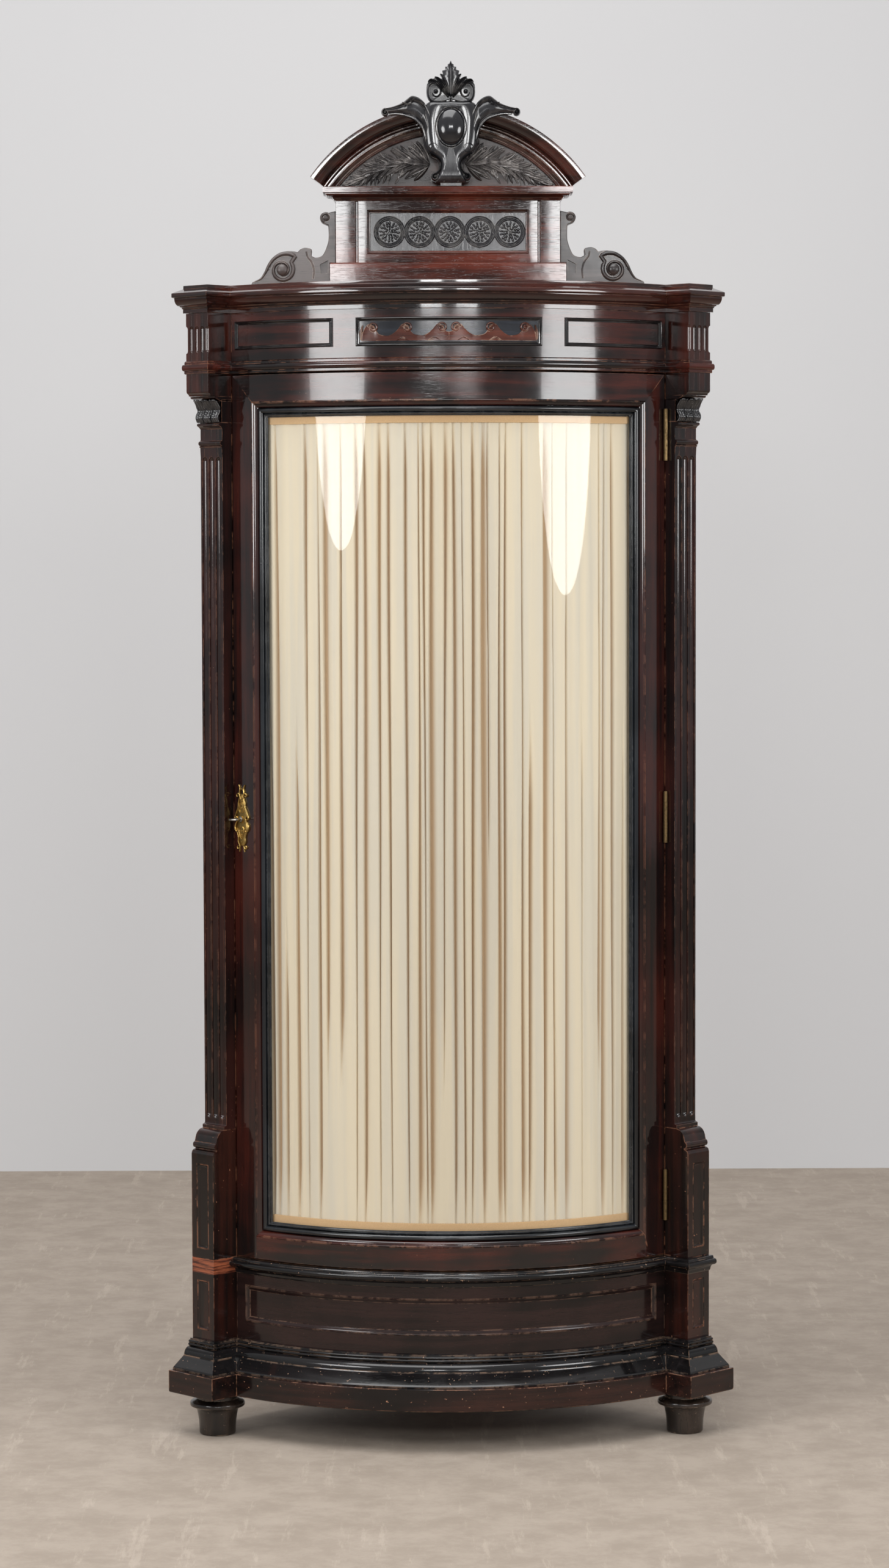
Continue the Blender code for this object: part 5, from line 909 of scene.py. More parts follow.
def valleys():
    """The creases between the pleats: place, widths to both sides, lean, phase, where they start and end."""
    chance = random.Random(7)
    left, right, _, _ = sight(-0.003)
    short = ((0.0, 0.35), (0.0, 0.6), (0.45, 1.0), (0.2, 1.0))
    pitches = (0.01, 0.013, 0.016, 0.019, 0.023, 0.028, 0.032)
    lines, x = [], left - 0.004
    while x < right + 0.004:
        low, high = (0.0, 1.0) if chance.random() < 0.72 else chance.choice(short)
        lines.append((x, chance.uniform(0.001, 0.003), chance.uniform(0.0026, 0.008), chance.uniform(-1, 1),
                      chance.uniform(0, 6.28), low, high))
        x += chance.choice(pitches) * chance.uniform(0.85, 1.15)
    return lines


def crease(x, up, lines):
    """0 on a pleat's face and 1 at the bottom of a crease."""
    deepest = 0.0
    for at, before, after, lean, phase, low, high in lines:
        wave = 0.0014 * math.sin(2.6 * up + phase) + 0.0005 * math.sin(11 * up + phase)
        here = at + 0.0045 * lean * (up - 0.5) + wave
        if abs(x - here) > 0.016:
            continue
        fade = min(max((up - low + 0.04) / 0.12, 0), 1) * min(max((high - up + 0.04) / 0.12, 0), 1)
        wide = before if x < here else after
        wide *= (0.75 + 0.45 * math.sin(3.1 * up + 2 * phase)) * (0.45 + 0.55 * fade)
        gather = 1 - 0.45 * math.exp(-((1 - up) / 0.04) ** 2) - 0.35 * math.exp(-(up / 0.03) ** 2)
        deepest = max(deepest, fade * gather * math.exp(-((x - here) / wide) ** 2))
    return deepest


def make_braid(name, low):
    """A looped braid along the curtain's edge."""
    left, right, _, _ = sight(0.0155)
    loop, front, back = 0.0045, 0.0188, 0.0202
    strip = block_shape(name, (left - 0.006, front, low), (right + 0.006, back, low + BRAID_HIGH))
    strip.cut("x", slices(left, right, 0.0018)).cut("z", [low + BRAID_HIGH * k / 6 for k in range(1, 6)])
    bm = strip.mesh()
    for vert in bm.verts:
        share = (vert.co.z - low) / BRAID_HIGH
        loops = math.sin(vert.co.x / loop * math.pi) ** 2
        if share > 0.9 or share < 0.1:
            vert.co.z += (0.0016 if share > 0.5 else -0.0016) * (loops - 0.5)
        if vert.co.y < (front + back) / 2:
            vert.co.y -= 0.0007 * math.sin(math.pi * share * 3) ** 2 * (0.4 + 0.6 * loops)
    strip.update()
    return strip.out_of_edit().bent().dress("braid", body="door", smooth=60)


def make_curtain():
    """One pleated sheet, told by its creases, with a braid sewn on at each end."""
    left, right, bottom, top = sight(-0.003)
    shape = primitive("gathered_cloth", "grid", x_subdivisions=620, y_subdivisions=48, size=1)
    bm = shape.mesh()
    crease_shade = bm.verts.layers.float.new("crease")
    lines = valleys()
    for vert in bm.verts:
        x = left + (right - left) * (vert.co.x + 0.5)
        up = vert.co.y + 0.5
        deep = crease(x, up, lines)
        swell = 0.5 + 0.5 * math.sin(x * 210 + 1.5 * math.sin(3 * up + x * 40))
        # The crease depth is kept as an attribute that paints shade into the creases.
        vert[crease_shade] = deep
        out = CLOTH_BACK + CLOTH_DEEP * (0.86 + 0.14 * swell) * (1 - deep)
        vert.co = (x, -out, bottom + (top - bottom) * up)
    shape.update()
    shape.out_of_edit().modify("SOLIDIFY", thickness=0.0006, offset=-1)
    sheet = shape.bent().dress("cream_cloth", "curtain", body="door", smooth=180)
    _, _, bottom, top = sight(0.0155)
    braids = [make_braid("braid_low", bottom), make_braid("braid_high", top - BRAID_HIGH)]


make_stiles()
make_rails()
make_glazing()
make_curtain()


# Pediment

FRONT_Y = CHORD_Y
PEDIMENT_DEEP = 0.055
BODY_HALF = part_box("pediment_body")[1].x
BODY_LOW, BODY_TOP = heights("pediment_body")
CAP_LOW, CAP_TOP = heights("pediment_cap")
CAP_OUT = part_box("pediment_cap")[1].x - BODY_HALF
ARCH_RADIUS, ARCH_WIDTH, ARCH_OUT = 0.305, 0.052, 0.023
ARCH_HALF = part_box("arch_moulding")[1].x
ARCH_CENTRE = heights("arch_moulding")[1] - ARCH_RADIUS


def flat(x, z, out):
    """A point on the pediment's front plane."""
    return x, FRONT_Y - out, z


def stacked(name, node, half, depth, levels):
    """A block moulded on its front and sides: (out, z) levels round a rectangle."""
    rings = []
    for out, z in levels:
        side = half + out
        rings.append([flat(-side, z, -depth), flat(-side, z, out), flat(side, z, out), flat(side, z, -depth)])
    lofted(name, rings).out_of_edit().dress("crest_wood", node)


def make_pediment_base():
    low, high = heights("pediment_base")
    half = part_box("pediment_base")[1].x - 0.01
    levels = [(0.01, low), (0.01, high - 0.0026), (0.0094, high - 0.001), (0.008, high)]
    stacked("pediment_plinth", "pediment_base", half, PEDIMENT_DEEP + 0.01, levels)


def make_body():
    """A box with a groove beside each end strip, and a mitred frame round the sunk field."""
    strip, groove, border = 0.0355, 0.0055, 0.0165
    field = BODY_HALF - strip - groove
    inner = field - border
    low, high = BODY_LOW + border, BODY_TOP - border
    shape = block_shape("pediment_box", (-BODY_HALF, FRONT_Y, BODY_LOW),
                        (BODY_HALF, FRONT_Y + PEDIMENT_DEEP, BODY_TOP))
    shape.cut("x", (-field - groove, -field, -inner, inner, field, field + groove)).cut("z", (low, high))
    for side in (-1, 1):
        edges = sorted((side * field, side * (field + groove)))
        shape.pick(lambda c, n: n.y < -0.9 and edges[0] < c.x < edges[1]).inset((0.3, -3), (0.8, -1.2))
    shape.pick(lambda c, n: n.y < -0.9 and abs(c.x) < inner and low < c.z < high)
    shape.inset((0.2, 0.6), (0.5, 0.8), (0.8, 0.2), (0.7, -1), (1, -3), (0.6, -0.6), (1.4, 0.4), (0.4, -3.8))
    shape.out_of_edit().modify("BEVEL", width=0.0006, segments=2, limit_method="ANGLE",
                               angle_limit=math.radians(50))
    shape.dress("crest_wood", "pediment_body")


def make_cap():
    """A hollow, a leaning bead and a thin upper edge."""
    low, rise, out = CAP_LOW, CAP_TOP - CAP_LOW, CAP_OUT
    levels = [(out * 0.1, low), (out * 0.12, low + rise * 0.1), (out * 0.2, low + rise * 0.14)]
    levels += curve(levels[-1], (out * 0.48, low + rise * 0.32), True, 6)
    levels += [(out * 0.54, low + rise * 0.34)]
    levels += bead((out * 0.56, low + rise * 0.35), (out * 0.8, low + rise * 0.5), 0.0014, 6)
    levels += [(out * 0.94, low + rise * 0.53), (out, low + rise * 0.56), (out, CAP_TOP - 0.0012),
               (out * 0.95, CAP_TOP)]
    stacked("pediment_cornice", "pediment_cap", BODY_HALF, PEDIMENT_DEEP, levels)


def arch_profile():
    """(radius share from the inner edge, out share), from the outer edge inwards."""
    steps = [(1.0, 0.9), (0.995, 0.985), (0.975, 1.0), (0.855, 1.0), (0.835, 0.97), (0.83, 0.84), (0.8, 0.8)]
    steps += [(0.8 - 0.3 * math.sin(t), 0.26 + 0.54 * math.cos(t)) for t in (0.2, 0.45, 0.7, 0.95, 1.2, 1.45)]
    steps += [(0.49, 0.24), (0.48, 0.33), (0.455, 0.4)]
    steps += oval_turns((0.4, 0.42), (-0.055, 0.22), (0.3, 0.8, 1.3, 1.8, 2.3, 2.8))
    steps += [(0.335, 0.4), (0.325, 0.3), (0.28, 0.3), (0.27, 0.46), (0.235, 0.5), (0.205, 0.44),
              (0.195, 0.22)]
    return steps + [(0.1, 0.13), (0.09, 0.2), (0.03, 0.18), (0.0, 0.08)]


def make_arch():
    """Spun about the arch's centre, then cut level on the cap and square to the curve at its ends."""
    inner = ARCH_RADIUS - ARCH_WIDTH
    back = -0.0047
    profile = [(ARCH_RADIUS, back)] + [(inner + ARCH_WIDTH * r, ARCH_OUT * o) for r, o in arch_profile()]
    profile += [(inner, back)]
    floor = CAP_TOP + GAP
    widest = math.acos((floor - ARCH_CENTRE) / ARCH_RADIUS)
    first = [flat(-radius * math.sin(widest), ARCH_CENTRE + radius * math.cos(widest), out)
             for radius, out in profile]
    shape = lofted("arch_run", [first])
    bpy.ops.mesh.spin(steps=96, angle=2 * widest, center=(0, FRONT_Y, ARCH_CENTRE), axis=(0, -1, 0))
    shape.trim((0, FRONT_Y, floor), (0, 0, -1))
    end = math.asin(ARCH_HALF / ARCH_RADIUS)
    for side in (-1, 1):
        shape.trim((0, FRONT_Y, ARCH_CENTRE), (side * math.cos(end), 0, -math.sin(end)))
    shape.out_of_edit().dress("arch_wood", "arch_moulding")


def make_tympanum():
    """The board behind the arch, with a curved top."""
    radius, half = ARCH_RADIUS - 0.004, BODY_HALF + CAP_OUT * 0.8
    low, steps = CAP_TOP + GAP, 40
    reach = math.asin(half / radius)
    turns = [reach * (2 * k / steps - 1) for k in range(steps + 1)]
    outline = [(radius * math.sin(a), ARCH_CENTRE + radius * math.cos(a)) for a in turns]
    outline = [(-half, low)] + outline + [(half, low)]
    rings = [[flat(x, z, out) for x, z in outline] for out in (-0.027, -0.005)]
    lofted("tympanum_board", rings).out_of_edit().dress("tympanum_wood", "tympanum")


make_pediment_base()
make_body()
make_cap()
make_arch()
make_tympanum()


# Carving

def smooth_line(points, steps=6, closed=False):
    """A curve through given points."""
    count = len(points)
    made = []
    for i in range(count if closed else count - 1):
        near = [(i + k) % count if closed else min(max(i + k, 0), count - 1) for k in (-1, 0, 1, 2)]
        around = [points[n] for n in near]
        for s in range(steps):
            t = s / steps
            made.append(tuple(0.5 * (2 * b + (c - a) * t + (2 * a - 5 * b + 4 * c - d) * t * t
                                     + (3 * b - a - 3 * c + d) * t ** 3) for a, b, c, d in zip(*around)))
    return made if closed else made + [tuple(points[-1])]


def spiral(centre, radius, start, turns, shrink=0.35, steps=18):
    """Points of a scroll that winds in, from a turn in degrees from +X."""
    count = max(int(abs(turns) * steps), 4)
    points = []
    for k in range(count + 1):
        reach = radius * (1 - (1 - shrink) * k / count)
        turn = math.radians(start) + math.tau * turns * k / count
        points.append((centre[0] + reach * math.cos(turn), centre[1] + reach * math.sin(turn)))
    return points


def round_section(low, high, sides=8):
    """A half-round section: (share across, out) points."""
    turns = [math.pi * k / sides for k in range(sides + 1)]
    return [(-math.cos(t), low + (high - low) * math.sin(t)) for t in turns]


def groove_section(low, high):
    """A carved leaf's section: two round lobes with a vein between them."""
    half = [(1, 0), (0.95, 0.55), (0.7, 1), (0.35, 0.9), (0.08, 0.55)]
    shares = [(-across, rise) for across, rise in half] + half[::-1]
    return [(across, low + (high - low) * rise) for across, rise in shares]


def spread(values, t):
    """The value at a share t of the way along a row of values."""
    at = t * (len(values) - 1)
    i = min(int(at), len(values) - 2)
    return values[i] + (values[i + 1] - values[i]) * (at - i)


def carved_band(path, widths, highs, low=-0.001, place=flat, profile=round_section):
    """A band along a path on a face: half-round or veined, with its width and height at each point."""
    last = len(path) - 1
    rings = []
    for j in range(last + 1):
        way = Vector(path[min(j + 1, last)]) - Vector(path[max(j - 1, 0)])
        across = Vector((-way.y, way.x)).normalized() * spread(widths, j / last) / 2
        rings.append([place(*(Vector(path[j]) + across * share), out)
                      for share, out in profile(low, spread(highs, j / last))])
    return lofted("band", rings).out_of_edit()


def oval(centre, across, up, sides, place, out):
    """A ring of points on a face."""
    turns = [math.tau * i / sides for i in range(sides)]
    return [place(centre[0] + across * math.cos(t), centre[1] + up * math.sin(t), out) for t in turns]


def dome(centre, radii, height, low=0.0, place=flat, sides=24, rings=6, start=0.0, name="dome"):
    """A round or oval boss on a face."""
    turns = [math.pi / 2 * k / rings for k in range(rings)]
    levels = [(1.0, low)] + [(math.cos(t), height * math.sin(t) + start * (1 - math.sin(t))) for t in turns]
    return lofted(name, [oval(centre, radii[0] * share, radii[1] * share, sides, place, out)
                         for share, out in levels + [(0.03, height)]]).out_of_edit()


def hoop(centre, radii, width, height, low=0.0, place=flat, sides=36, tall=8, name="hoop"):
    """A raised ring on a face."""
    rings = []
    for k in list(range(tall + 1)) + [0]:
        t = math.pi * k / tall
        grow, out = -math.cos(t) * width / 2, low + (height - low) * math.sin(t)
        rings.append(oval(centre, radii[0] + grow, radii[1] + grow, sides, place, out))
    return lofted(name, rings, filled=False).out_of_edit()


def swelling(outline, centre, low, levels, place=flat):
    """A plate that swells to a crown: (share drawn in sideways, share drawn in upright, out) rings."""
    rings = [[place(x + (centre[0] - x) * aside, z + (centre[1] - z) * upright, out) for x, z in outline]
             for aside, upright, out in [(0, 0, low)] + levels]
    return lofted("swelling", rings).out_of_edit()


def strap(upper, lower, profile, low, place=flat, steps=5, fade=0.0):
    """A strap between two edges, with (share across, out) points, that fades towards its end."""
    upper, lower = smooth_line(upper, steps), smooth_line(lower, steps)
    points = [(profile[0][0], low)] + profile + [(profile[-1][0], low)]
    rings = []
    for j, (one, other) in enumerate(zip(upper, lower)):
        sink = fade * j / (len(upper) - 1)
        rings.append([place(*[u + (l - u) * share for u, l in zip(one, other)],
                            out - (sink if out > low else 0))
                      for share, out in points])
    return lofted("strap", rings).out_of_edit()


class Carver:
    """Carves on one face. Points have the face's own coordinates; widths and heights are in millimetres."""

    def __init__(self, point, ground, foot=None, place=flat):
        self.point = point
        self.ground = ground
        self.foot = ground if foot is None else foot
        self.place = place

    def on(self, points):
        return [self.point(*p) for p in points]

    def line(self, points, steps=5, closed=False):
        return self.on(smooth_line(points, steps, closed))

    def curl(self, centre, radius, *winding):
        return spiral(self.point(*centre), radius / 1000, *winding)

    def out(self, *highs):
        return [self.ground + high / 1000 for high in highs]

    def band(self, path, widths, highs, profile=round_section):
        """A band along a finished line."""
        widths = [width / 1000 for width in widths]
        return carved_band(path, widths, self.out(*highs), self.foot, self.place, profile)

    def knob(self, centre, radius, high, sides=12, rings=4):
        radii = (radius / 1000, radius / 1000)
        return dome(self.point(*centre), radii, self.out(high)[0], self.foot, self.place, sides, rings)

    def swell(self, outline, centre, *levels):
        """A swelling plate from a finished outline: (shares drawn in sideways and upright, height) levels."""
        levels = [(aside, upright, *self.out(high)) for aside, upright, high in levels]
        return swelling(outline, self.point(*centre), self.foot, levels, self.place)


SHIELD_FLOOR = CAP_TOP + GAP
SHIELD_LOW = ARCH_OUT + GAP
TO_CREST = Matrix.Translation((0.0055, 0, 0))


def above_cap(x, z):
    """A place in millimetres beside the pediment's middle and above its cap."""
    return x / 1000, SHIELD_FLOOR + z / 1000


def mirrored(half):
    """A closed outline from its right half, whose first and last points lie on the middle line."""
    return half + [(-x, z) for x, z in reversed(half[1:-1])]


def shield_body(tool):
    """The swelling body, its ring and its cabochon."""
    half = smooth_line([(0, 152), (22, 151), (40, 150), (48, 140), (53, 122), (52, 100), (50.5, 84), (48, 70),
                        (42, 60), (30, 53), (21, 46), (18.5, 38), (19, 28), (23, 18), (27, 10), (28, 5)], 3)
    body = tool.swell(tool.on(mirrored(half + [(0, 5)])), (0, 100), (0, 0, 5), (0.02, 0.006, 8.5),
                      (0.06, 0.018, 12), (0.12, 0.035, 15), (0.2, 0.06, 17.2), (0.3, 0.09, 18.6),
                      (0.42, 0.14, 19.1), (0.56, 0.22, 18.4), (0.7, 0.4, 17), (0.97, 0.97, 16.5))
    centre, low = above_cap(0, 104.5), SHIELD_LOW
    start, face, crown = tool.out(15.5, 21.7, 30)
    ring = hoop(centre, (0.028, 0.036), 0.005, face, low)
    stone = dome(centre, (0.0256, 0.0338), crown, low, rings=9, start=start)
    back = block_shape("root", (-0.019, FRONT_Y - low - 0.002, SHIELD_FLOOR),
                       (0.019, FRONT_Y + 0.0047, SHIELD_FLOOR + 0.08)).out_of_edit()
    collar = tool.knob((0, 156), 4.2, 17.5, 14)
    key = tool.band(tool.on([(-13, 6), (-8.5, 21), (8.5, 21), (13, 6)]), (2.4, 2.4), (17.5, 17.5))
    return [body, ring, stone, back, collar, key]


def shield_side(tool):
    """The wing, its rolled tip and the volutes of the right-hand side."""
    upper = [(38, 128), (47, 147), (58, 157), (70, 160.5), (79, 155), (87, 149), (97, 144.5), (108, 141),
             (119, 139)]
    lower = [(46, 78), (51, 97), (56.5, 107), (63, 114.5), (70.5, 119.5), (79, 123), (88, 126), (98, 127.5),
             (110, 127)]
    profile = [(0, 15), (0.05, 17.8), (0.12, 17.2), (0.2, 14), (0.45, 18.5), (0.7, 16), (0.8, 12.5),
               (0.87, 16), (0.95, 16), (1, 13)]
    wing = strap(tool.on(upper), tool.on(lower), [(share, *tool.out(high)) for share, high in profile],
                 tool.foot, fade=0.0055)
    hook = [(88, 149.5), (79, 146), (72, 147), (72.5, 152), (66, 155), (56, 151), (49, 143)]
    roll = tool.line([(40, 57), (33, 50), (25, 46), (21, 38), (21.5, 28), (26, 22)], 4)
    roll += tool.curl((28.5, 15), 6.8, 100, -1.2, 0.25)[1:]
    return [wing, tool.knob((118.5, 131.5), 3.2, 16.5), tool.knob((31, 66), 3.6, 21.5),
            tool.knob((28.5, 15), 8, 16, 16),
            tool.band(tool.curl((118.5, 131.5), 6.6, 95, -1.45, 0.2), (4.6, 4.2, 3), (15, 14)),
            tool.band(tool.on(hook), (2, 2.2, 2.2, 1.2), (16.5, 19.5, 19.5, 18)),
            tool.band(tool.curl((31, 66), 10, 30, 1.4, 0.25), (4, 4.2, 3), (20.5, 18.5)),
            tool.band(roll, (2, 4, 4.8, 4.5, 3.6), (15, 18.5, 19, 18))]


def make_cartouche():
    tool = Carver(above_cap, SHIELD_LOW)
    shape = joined("cartouche_carving", shield_body(tool) + both(shield_side(tool)))
    shape.moved(TO_CREST).dress("ebony_carved", "cartouche", smooth=45)


def make_palmette():
    """A toothed leaf between three smaller ones on each side, over a pair of snails."""
    tool = Carver(above_cap, SHIELD_LOW + 0.002)
    back = tool.line(mirrored([(0, 155), (20, 149), (38, 151), (43, 163), (43, 182), (30, 193), (14, 192),
                               (0, 192)]), 3, closed=True)
    plate = tool.swell(back, (0, 170), (0, 0, 3), (0.06, 0.06, 5.5), (0.97, 0.97, 6))
    half = [(0, 224.5), (2.4, 219), (5.2, 217.5), (5.6, 213.5), (10.2, 213), (9.8, 208), (15.5, 206),
            (14.2, 200), (16.8, 196.5), (12.5, 190), (8.5, 178), (4.5, 164), (0, 158)]
    middle = tool.swell(tool.on(mirrored(half)), (0, 180), (0, 0, 7.5), (0.1, 0.015, 9.8), (0.45, 0.04, 11.2),
                        (0.78, 0.08, 10), (0.9, 0.09, 13.5), (0.97, 0.1, 14))
    pieces = []
    for width, leaf in ((7.6, [(2, 162), (7, 180), (13, 194), (19, 200)]),
                        (8.4, [(3, 160), (12, 178), (21, 190), (29, 195)]),
                        (8.4, [(4, 158), (16, 173), (27, 185), (36, 189), (41, 185)])):
        path = tool.line(leaf)
        widths = (2.6, width * 0.75, width, width, width * 0.75, 2.2)
        pieces.append(tool.band(path, widths, (12.5, 12.5, 11.8, 11, 10), groove_section))
        pieces.append(tool.band(path[:-2], (1.4, 2.2, 1.2), (15, 13.8, 10.5)))
    snail = tool.line([(8, 153), (22, 150.5), (35, 152.5), (41, 161), (41, 176), (34, 184), (25, 182.5),
                       (19, 176), (18.5, 166), (24, 160), (31, 161.5), (34, 167)])
    pieces.append(tool.band(snail, (3, 5, 5.6, 5, 4.2, 3), (10, 11.5, 11, 9)))
    pieces.append(tool.knob((27, 169), 7, 15.5, 18, 6))
    shape = joined("palmette_carving", [plate, middle] + both(pieces))
    shape.moved(TO_CREST).dress("ebony_carved", "palmette", smooth=45)


def make_brackets():
    """A large scroll with a small curl beside it, on a shaped board. Points are shares of its size."""
    length, height, front = 0.1434, 0.133, -0.006
    inner, base_side = BODY_HALF + GAP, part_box("pediment_base")[1].x + GAP
    bottom, shelf = heights("bracket_right")[0], heights("pediment_base")[1] + GAP
    top = CORNICE_TOP
    tool = Carver(lambda across, up: (base_side + across * length, top + up * height), front, front - 0.002)
    line = tool.line([(1, 0.012), (0.985, 0.055), (0.925, 0.078), (0.865, 0.105), (0.825, 0.165),
                      (0.805, 0.212)], 3)[:-1]
    line += tool.line([(0.77, 0.238), (0.752, 0.3), (0.712, 0.38), (0.645, 0.442), (0.56, 0.474),
                       (0.47, 0.476), (0.398, 0.46)], 4)[:-1]
    line += tool.line([(0.378, 0.5), (0.325, 0.524), (0.262, 0.515), (0.232, 0.496), (0.236, 0.44),
                       (0.238, 0.405)], 3)[:-1]
    line += tool.line([(0.19, 0.387), (0.13, 0.398), (0.086, 0.429), (0.045, 0.52), (0.018, 0.62),
                       (0.014, 0.74), (0.02, 0.83)], 4)
    large, eye = (0.608, 0.22), (0.052, 0.929)
    x, z = tool.point(*eye)
    turns = [math.radians(a) for a in range(-60, 121, 15)]
    line += [(x + 0.0105 * math.cos(t), z + 0.0105 * math.sin(t)) for t in turns]
    line += [(inner, top + height * 1.02), (inner, shelf), (base_side, shelf), (base_side, bottom),
             (base_side + length, bottom)]
    plate = lofted("board", [[flat(x, z, out) for x, z in line] for out in (front - 0.03, front - 0.0012)])
    bpy.ops.mesh.select_all(action="DESELECT")
    face = FRONT_Y - front + 0.0012
    plate.pick(lambda c, n: abs(c.y - face) < 1e-5).inset((1.2, 1.2)).out_of_edit()
    hollow = tool.on([(0.128, 0.293), (0.023, 0.353), (0.026, 0.17), (0.123, 0.165)])
    plate.without(lofted("hollow", [[flat(x, z, out) for x, z in hollow]
                                    for out in (front - 0.006, front + 0.01)]).out_of_edit())
    sweep = tool.line([(0.96, 0.06), (0.88, 0.1), (0.822, 0.185), (0.775, 0.285), (0.712, 0.372),
                       (0.62, 0.432), (0.52, 0.44), (0.44, 0.405)], 4)
    sweep += tool.curl(large, 21.5, 140, 1.4, 0.42, 20)
    ridge = tool.line([(0.3, 0.47), (0.285, 0.4), (0.235, 0.33), (0.205, 0.22), (0.215, 0.1)], 4)
    pieces = [plate, tool.band(sweep, (2, 6, 8.5, 8, 6, 5), (2, 4.5, 5, 5, 6)),
              tool.knob(large, 10, 11.5, 22, 6),
              tool.band(tool.curl(eye, 8.8, -80, 1.3, 0.35, 18), (4.5, 4.2, 3), (3.5, 4.5)),
              tool.knob(eye, 4.2, 7, 14), tool.band(ridge, (3.5, 4, 3.5), (1.8, 2.2))]
    joined("bracket_carving_right", pieces).pair("ebony_worn", "bracket", smooth=40)


def upright(x, z, out):
    """A place on a face of its own, to be moved later."""
    return x, -out, z


def make_laurel():
    """Two branches whose pointed leaves fill the board behind the arch."""
    chance = random.Random(11)
    leaf = carved_band(smooth_line([(0, 0), (0.35, 0.035), (0.75, 0.02), (1, -0.03)], 4),
                       [0.06, 0.2, 0.235, 0.17, 0.01], [0.1, 0.22, 0.25, 0.13], 0, upright, groove_section)
    tool = Carver(above_cap, 0, -0.006)
    stem = tool.line([(34, 40), (78, 43), (122, 31), (160, 15), (180, 7)], 8)
    pieces = [tool.band(stem, (4.4, 3, 2), (0.5, -0.8))]
    count, tries, room = 19, 8, 0.002
    for i in range(count):
        at = i / (count - 1) * (len(stem) - 2)
        k = int(at)
        here = Vector(stem[k]).lerp(Vector(stem[k + 1]), at - k)
        way = math.atan2(stem[k + 1][1] - stem[k][1], stem[k + 1][0] - stem[k][0])
        for number, lean in enumerate((-0.95, 0.98, -0.5, 0.55, 0.05)):
            turn = way + lean * chance.uniform(0.85, 1.15)
            length = (0.049 if lean > 0 else 0.04) * (1 - 0.42 * i / count) * chance.uniform(0.85, 1.1)
            for _ in range(tries):
                tip = here + Vector((math.cos(turn), math.sin(turn))) * length
                reach = math.hypot(tip.x, tip.y - ARCH_CENTRE)
                if tip.y > SHIELD_FLOOR + room and reach < ARCH_RADIUS - ARCH_WIDTH - room:
                    break
                length *= 0.86
            lift = -0.0058 + 0.0012 * number + chance.uniform(0, 0.0012)
            thick = length * chance.uniform(0.8, 1.05) + 0.008
            size = Matrix.Diagonal((length, thick, length * chance.choice((-1, 1)) * 0.8, 1))
            tilt = Matrix.Rotation(chance.uniform(-0.35, 0.35), 4, "X") @ size
            home = Matrix.Translation((here.x, FRONT_Y - lift, here.y)) @ Matrix.Rotation(-turn, 4, "Y")
            pieces.append(leaf.again(home @ tilt))
    bpy.data.objects.remove(leaf.object)
    # The leaves take a lighter grey copy of the ebonised finish, with its painted highlight.
    joined("laurel_carving", both(pieces)).dress("laurel_painted_light", smooth=45)


def make_rosettes():
    """Five linked rings, each round a flower of three rows of knobbed petals."""
    low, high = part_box("rosette_panel")
    ground = FRONT_Y + 0.0048
    pieces = [block_shape("plate", (low.x, ground, low.z), (high.x, FRONT_Y + 0.0067, high.z)).out_of_edit()]
    chance = random.Random(5)
    petal = dome((0, 0), (1, 1), 1, -0.3, upright, 8, 3)
    flower = [hoop((0, 0), (radius, radius), width, rise, -0.001, upright, 44, 6)
              for radius, width, rise in ((0.0276, 0.003, 0.0036), (0.0245, 0.0026, 0.0028),
                                          (0.0216, 0.003, 0.0034))]
    for radius, petals, long, wide, rise in ((0.016, 16, 0.0036, 0.0026, 0.0034),
                                             (0.0108, 12, 0.0032, 0.0024, 0.0044),
                                             (0.0058, 8, 0.0027, 0.002, 0.005),
                                             (0.0018, 3, 0.0016, 0.0014, 0.0044)):
        for k in range(petals):
            turn = Matrix.Rotation(math.tau * (k + 0.3 * chance.random()) / petals, 4, "Y")
            size = (long, rise * chance.uniform(0.75, 1.1), wide * chance.uniform(0.8, 1.1), 1)
            flower.append(petal.again(turn @ Matrix.Translation((radius, 0, 0)) @ Matrix.Diagonal(size)))
    flower = joined("rosette", flower)
    pitch, aside = 0.0548, 0.003
    for number in range(5):
        home = Matrix.Translation((pitch * (number - 2) + aside, ground, (low.z + high.z) / 2))
        pieces.append(flower.again(home @ Matrix.Rotation(0.4 * number, 4, "Y")))
    bpy.data.objects.remove(petal.object)
    bpy.data.objects.remove(flower.object)
    joined("rosette_carving", pieces).dress("ebony_carved", "rosette_panel", smooth=40)


